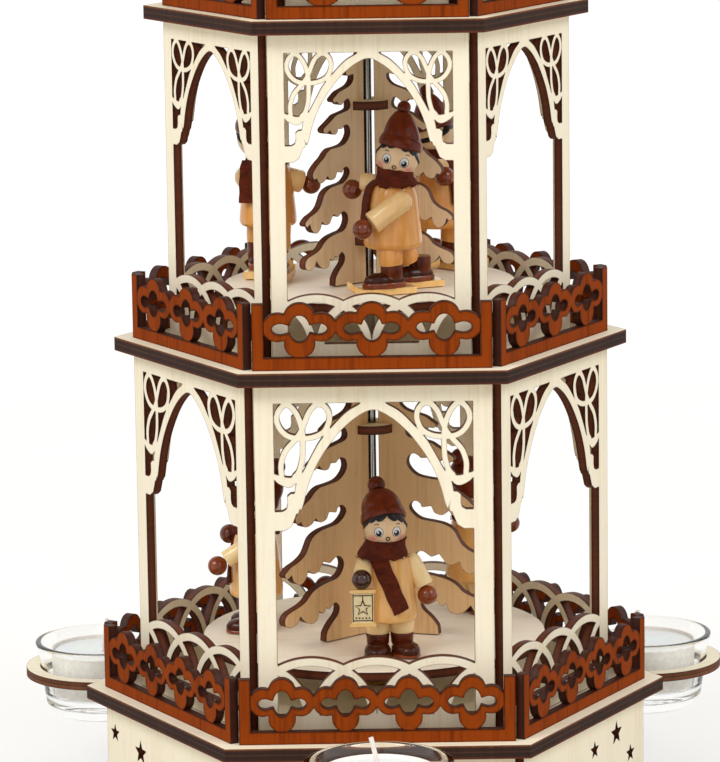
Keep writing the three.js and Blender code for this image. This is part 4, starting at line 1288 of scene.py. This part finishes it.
KINDS = (("bearer", "walker", "walker"), ("skier", "glider", "skier"), ("walker", "walker", "walker"))
MAKERS = (standing_figure, skiing_figure, standing_figure)
OWN_HEIGHTS = (61.5, 62.9, 61.5)
HEIGHT_SHARES = (0.502, 0.556, 0.452)
OFFSET_SHARES = ((0.575, 0.695, 0.739), (0.517, 0.686, 0.686), (0.67, 0.67, 0.67))
TURNS = ((278.5, 173, 36.5), (290.6, 166, 46), (284, 164, 44))
GLIDER_RISE, GLIDER_SHIFT, BOOT_TOP = 3.4, -2.0, 15


def figure(level, k):
    kind = KINDS[level][k]
    shape = MAKERS[level](kind, 3 * level + k)
    size = HEIGHT_SHARES[level] * storey_height(level) / OWN_HEIGHTS[level]
    taller, aside = (GLIDER_RISE, GLIDER_SHIFT) if kind == "glider" else (0.0, 0.0)
    shape.points = [(x * size, y * size, z * size + taller * min(z / BOOT_TOP, 1))
                    for x, y, z in shape.points]
    name = f"turned_figure_{level + 1}_{k + 1}"
    angle = radians(TURNS[level][k] + 90)
    offset = OFFSET_SHARES[level][k] * table_radius(level)
    foot = deck_top(level) + TABLE_TOP + GAP
    piece(name, shape.mesh(name, 45), "rotor", [f"figure_{level + 1}_{k + 1}"],
          spot(aside, 0, 0) @ turned(angle, y=-offset, z=foot))


for level in range(3):
    for k in range(3):
        figure(level, k)


# Bladed wheel
BLADES, BLADE_TILT, PEG_RISE = 10, radians(28), 7.5
HUB_DROP, HUB_HEIGHT = 11, 15.0
HUB_LINE = [(0, 0.2), (20.4, 0), (21.0, 0.5), (21.0, 11.6), (20.6, 12.6), (19.4, 14.2), (18.2, HUB_HEIGHT),
            (3.3, HUB_HEIGHT), (3.3, 12.0), (0, 12.0)]
LEAF_LINE = [(25, -13), (137, -26), (143.5, -23.4), (146, -17), (146, 17), (143.5, 23.4), (137, 26),
             (25, 13)]
PEG_LINE = [(0, 0), (1.9, 0), (2.2, 0.4), (2.2, 26.2), (1.6, 27.0), (0, 27.0)]
DROP_LINE = [(4.2, 3.3), (6.4, 6.2), (7.0, 10.0), (5.9, 13.6), (4.0, 15.6), (2.4, 17.4), (1.6, 19.0),
             (0, 20.0)]


def bladed_wheel():
    base = ROD_TOP + GAP - HUB_DROP
    hub = turned_mesh("hub_wheel", HUB_LINE, 96, bush_wood)
    piece("hub_wheel", hub, "wheel", ["wheel_hub"], spot(0, 0, base))
    leaf = cut_sheet("blade_leaf", (20, -30), (150, 30), 0.4, lambda U, V: polygon(U, V, LEAF_LINE),
                     [blade_face, blade_cut], BLADE_PLY, upright=False, back=-BLADE_PLY / 2)
    for k in range(BLADES):
        tag = k + 1
        tilt = turned(2 * pi * k / BLADES, z=base + PEG_RISE) @ spin(BLADE_TILT, "X")
        piece(f"blade_leaf_{tag}", leaf, "wheel", [f"wheel_blade_{tag}"], tilt)
        peg = Shape()
        peg.turn(PEG_LINE, 28, blade_face, shift(12, 0, 0) @ spin(pi / 2, "Y"))
        piece(f"blade_peg_{tag}", peg.mesh(f"blade_peg_{tag}"), "wheel", place=tilt)
    knob_line = [(0, 0), (3.0, 0), (3.0, 3.3), *flowing(DROP_LINE, 4)]
    knob = turned_mesh("top_knob", knob_line, 64, bush_wood)
    piece("top_knob", knob, "wheel", ["finial"], spot(0, 0, base + HUB_HEIGHT - 3))


bladed_wheel()


# Floor, light and camera
WORLD_LIGHT = 0.73
GLOW_NEAR, GLOW_FAR = 0.5, 2.0
GLOW_LEAST, GLOW_MOST = 0.49, 0.66


def white_world():
    """White to look at, and dimmer where it lights the object."""
    make = Recipe(bpy.data.worlds.new("studio"))
    sky = make.add("Background", {0: (1.0, 1.0, 1.0, 1.0), 1: make.by_ray(WORLD_LIGHT, 1.0)})
    return make.end(sky, "World")


def glowing_floor():
    """Grey for the light, with a glow for the eye that grows with the distance."""
    make = Recipe("studio_floor")
    dust = make.noise((3, 3, 3), 2.0)
    tone = make.ramp(dust, [(0.3, (0.5, 0.49, 0.47)), (0.7, (0.53, 0.52, 0.5))])
    diffuse = make.add("BsdfDiffuse", {0: tone})
    ground = make.add("TexCoord", output="Object")
    away = make.add("VectorMath", {0: ground}, 1, operation="LENGTH")
    lift = make.add("MapRange", {0: away, 1: GLOW_NEAR, 2: GLOW_FAR, 3: GLOW_LEAST, 4: GLOW_MOST})
    glow = make.add("Emission", {1: make.by_ray(0.0, lift)})
    return make.end(make.add("AddShader", {0: diffuse, 1: glow}))


bpy.context.scene.world = white_world()
floor = bpy.data.meshes.new("studio_floor")
floor.from_pydata([(-3, -3, 0), (3, -3, 0), (3, 7, 0), (-3, 7, 0)], [], [[0, 1, 2, 3]])
floor.materials.append(glowing_floor())
stage = put("studio_floor", floor)


def softbox(name, at, aim, size, power):
    lamp = bpy.data.lights.new(name, "AREA")
    lamp.shape = "RECTANGLE"
    lamp.size, lamp.size_y = size
    lamp.energy = power
    aimed = (Vector(aim) - Vector(at)).to_track_quat("-Z", "Y").to_matrix().to_4x4()
    put(name, lamp, shift(*at) @ aimed)


softbox("key_left", (-1.4, -1.16, 1.62), (0, 0, 0.2), (1.3, 0.9), 23.4)
softbox("key_right", (1.4, -1.16, 1.52), (0, 0, 0.2), (1.1, 0.9), 17.2)

# The camera's place in metres, its angles and its focal length in pixels of the photograph
CAMERA_AT = (-0.010751, -1.402594, 0.406135)
PITCH, YAW, ROLL, FOCAL_PX = 0.18, 0.005, -0.014, 4162.08
SENSOR, PHOTO_HEIGHT_PX = 36.0, 762
forward = Vector((sin(YAW) * cos(PITCH), cos(YAW) * cos(PITCH), -sin(PITCH)))
right = Vector((cos(YAW), -sin(YAW), 0))
up = right.cross(forward)
rolled_right = right * cos(ROLL) + up * sin(ROLL)
rolled_up = up * cos(ROLL) - right * sin(ROLL)
camera = bpy.data.cameras.new("camera")
camera.sensor_width = SENSOR
camera.lens = FOCAL_PX * SENSOR / PHOTO_HEIGHT_PX
camera.clip_start, camera.clip_end = 0.05, 50
facing = Matrix((rolled_right, rolled_up, -forward)).transposed().to_4x4()
view = put("camera", camera, shift(*CAMERA_AT) @ facing)
bpy.context.scene.camera = view
bpy.context.scene.view_settings.view_transform = "Standard"
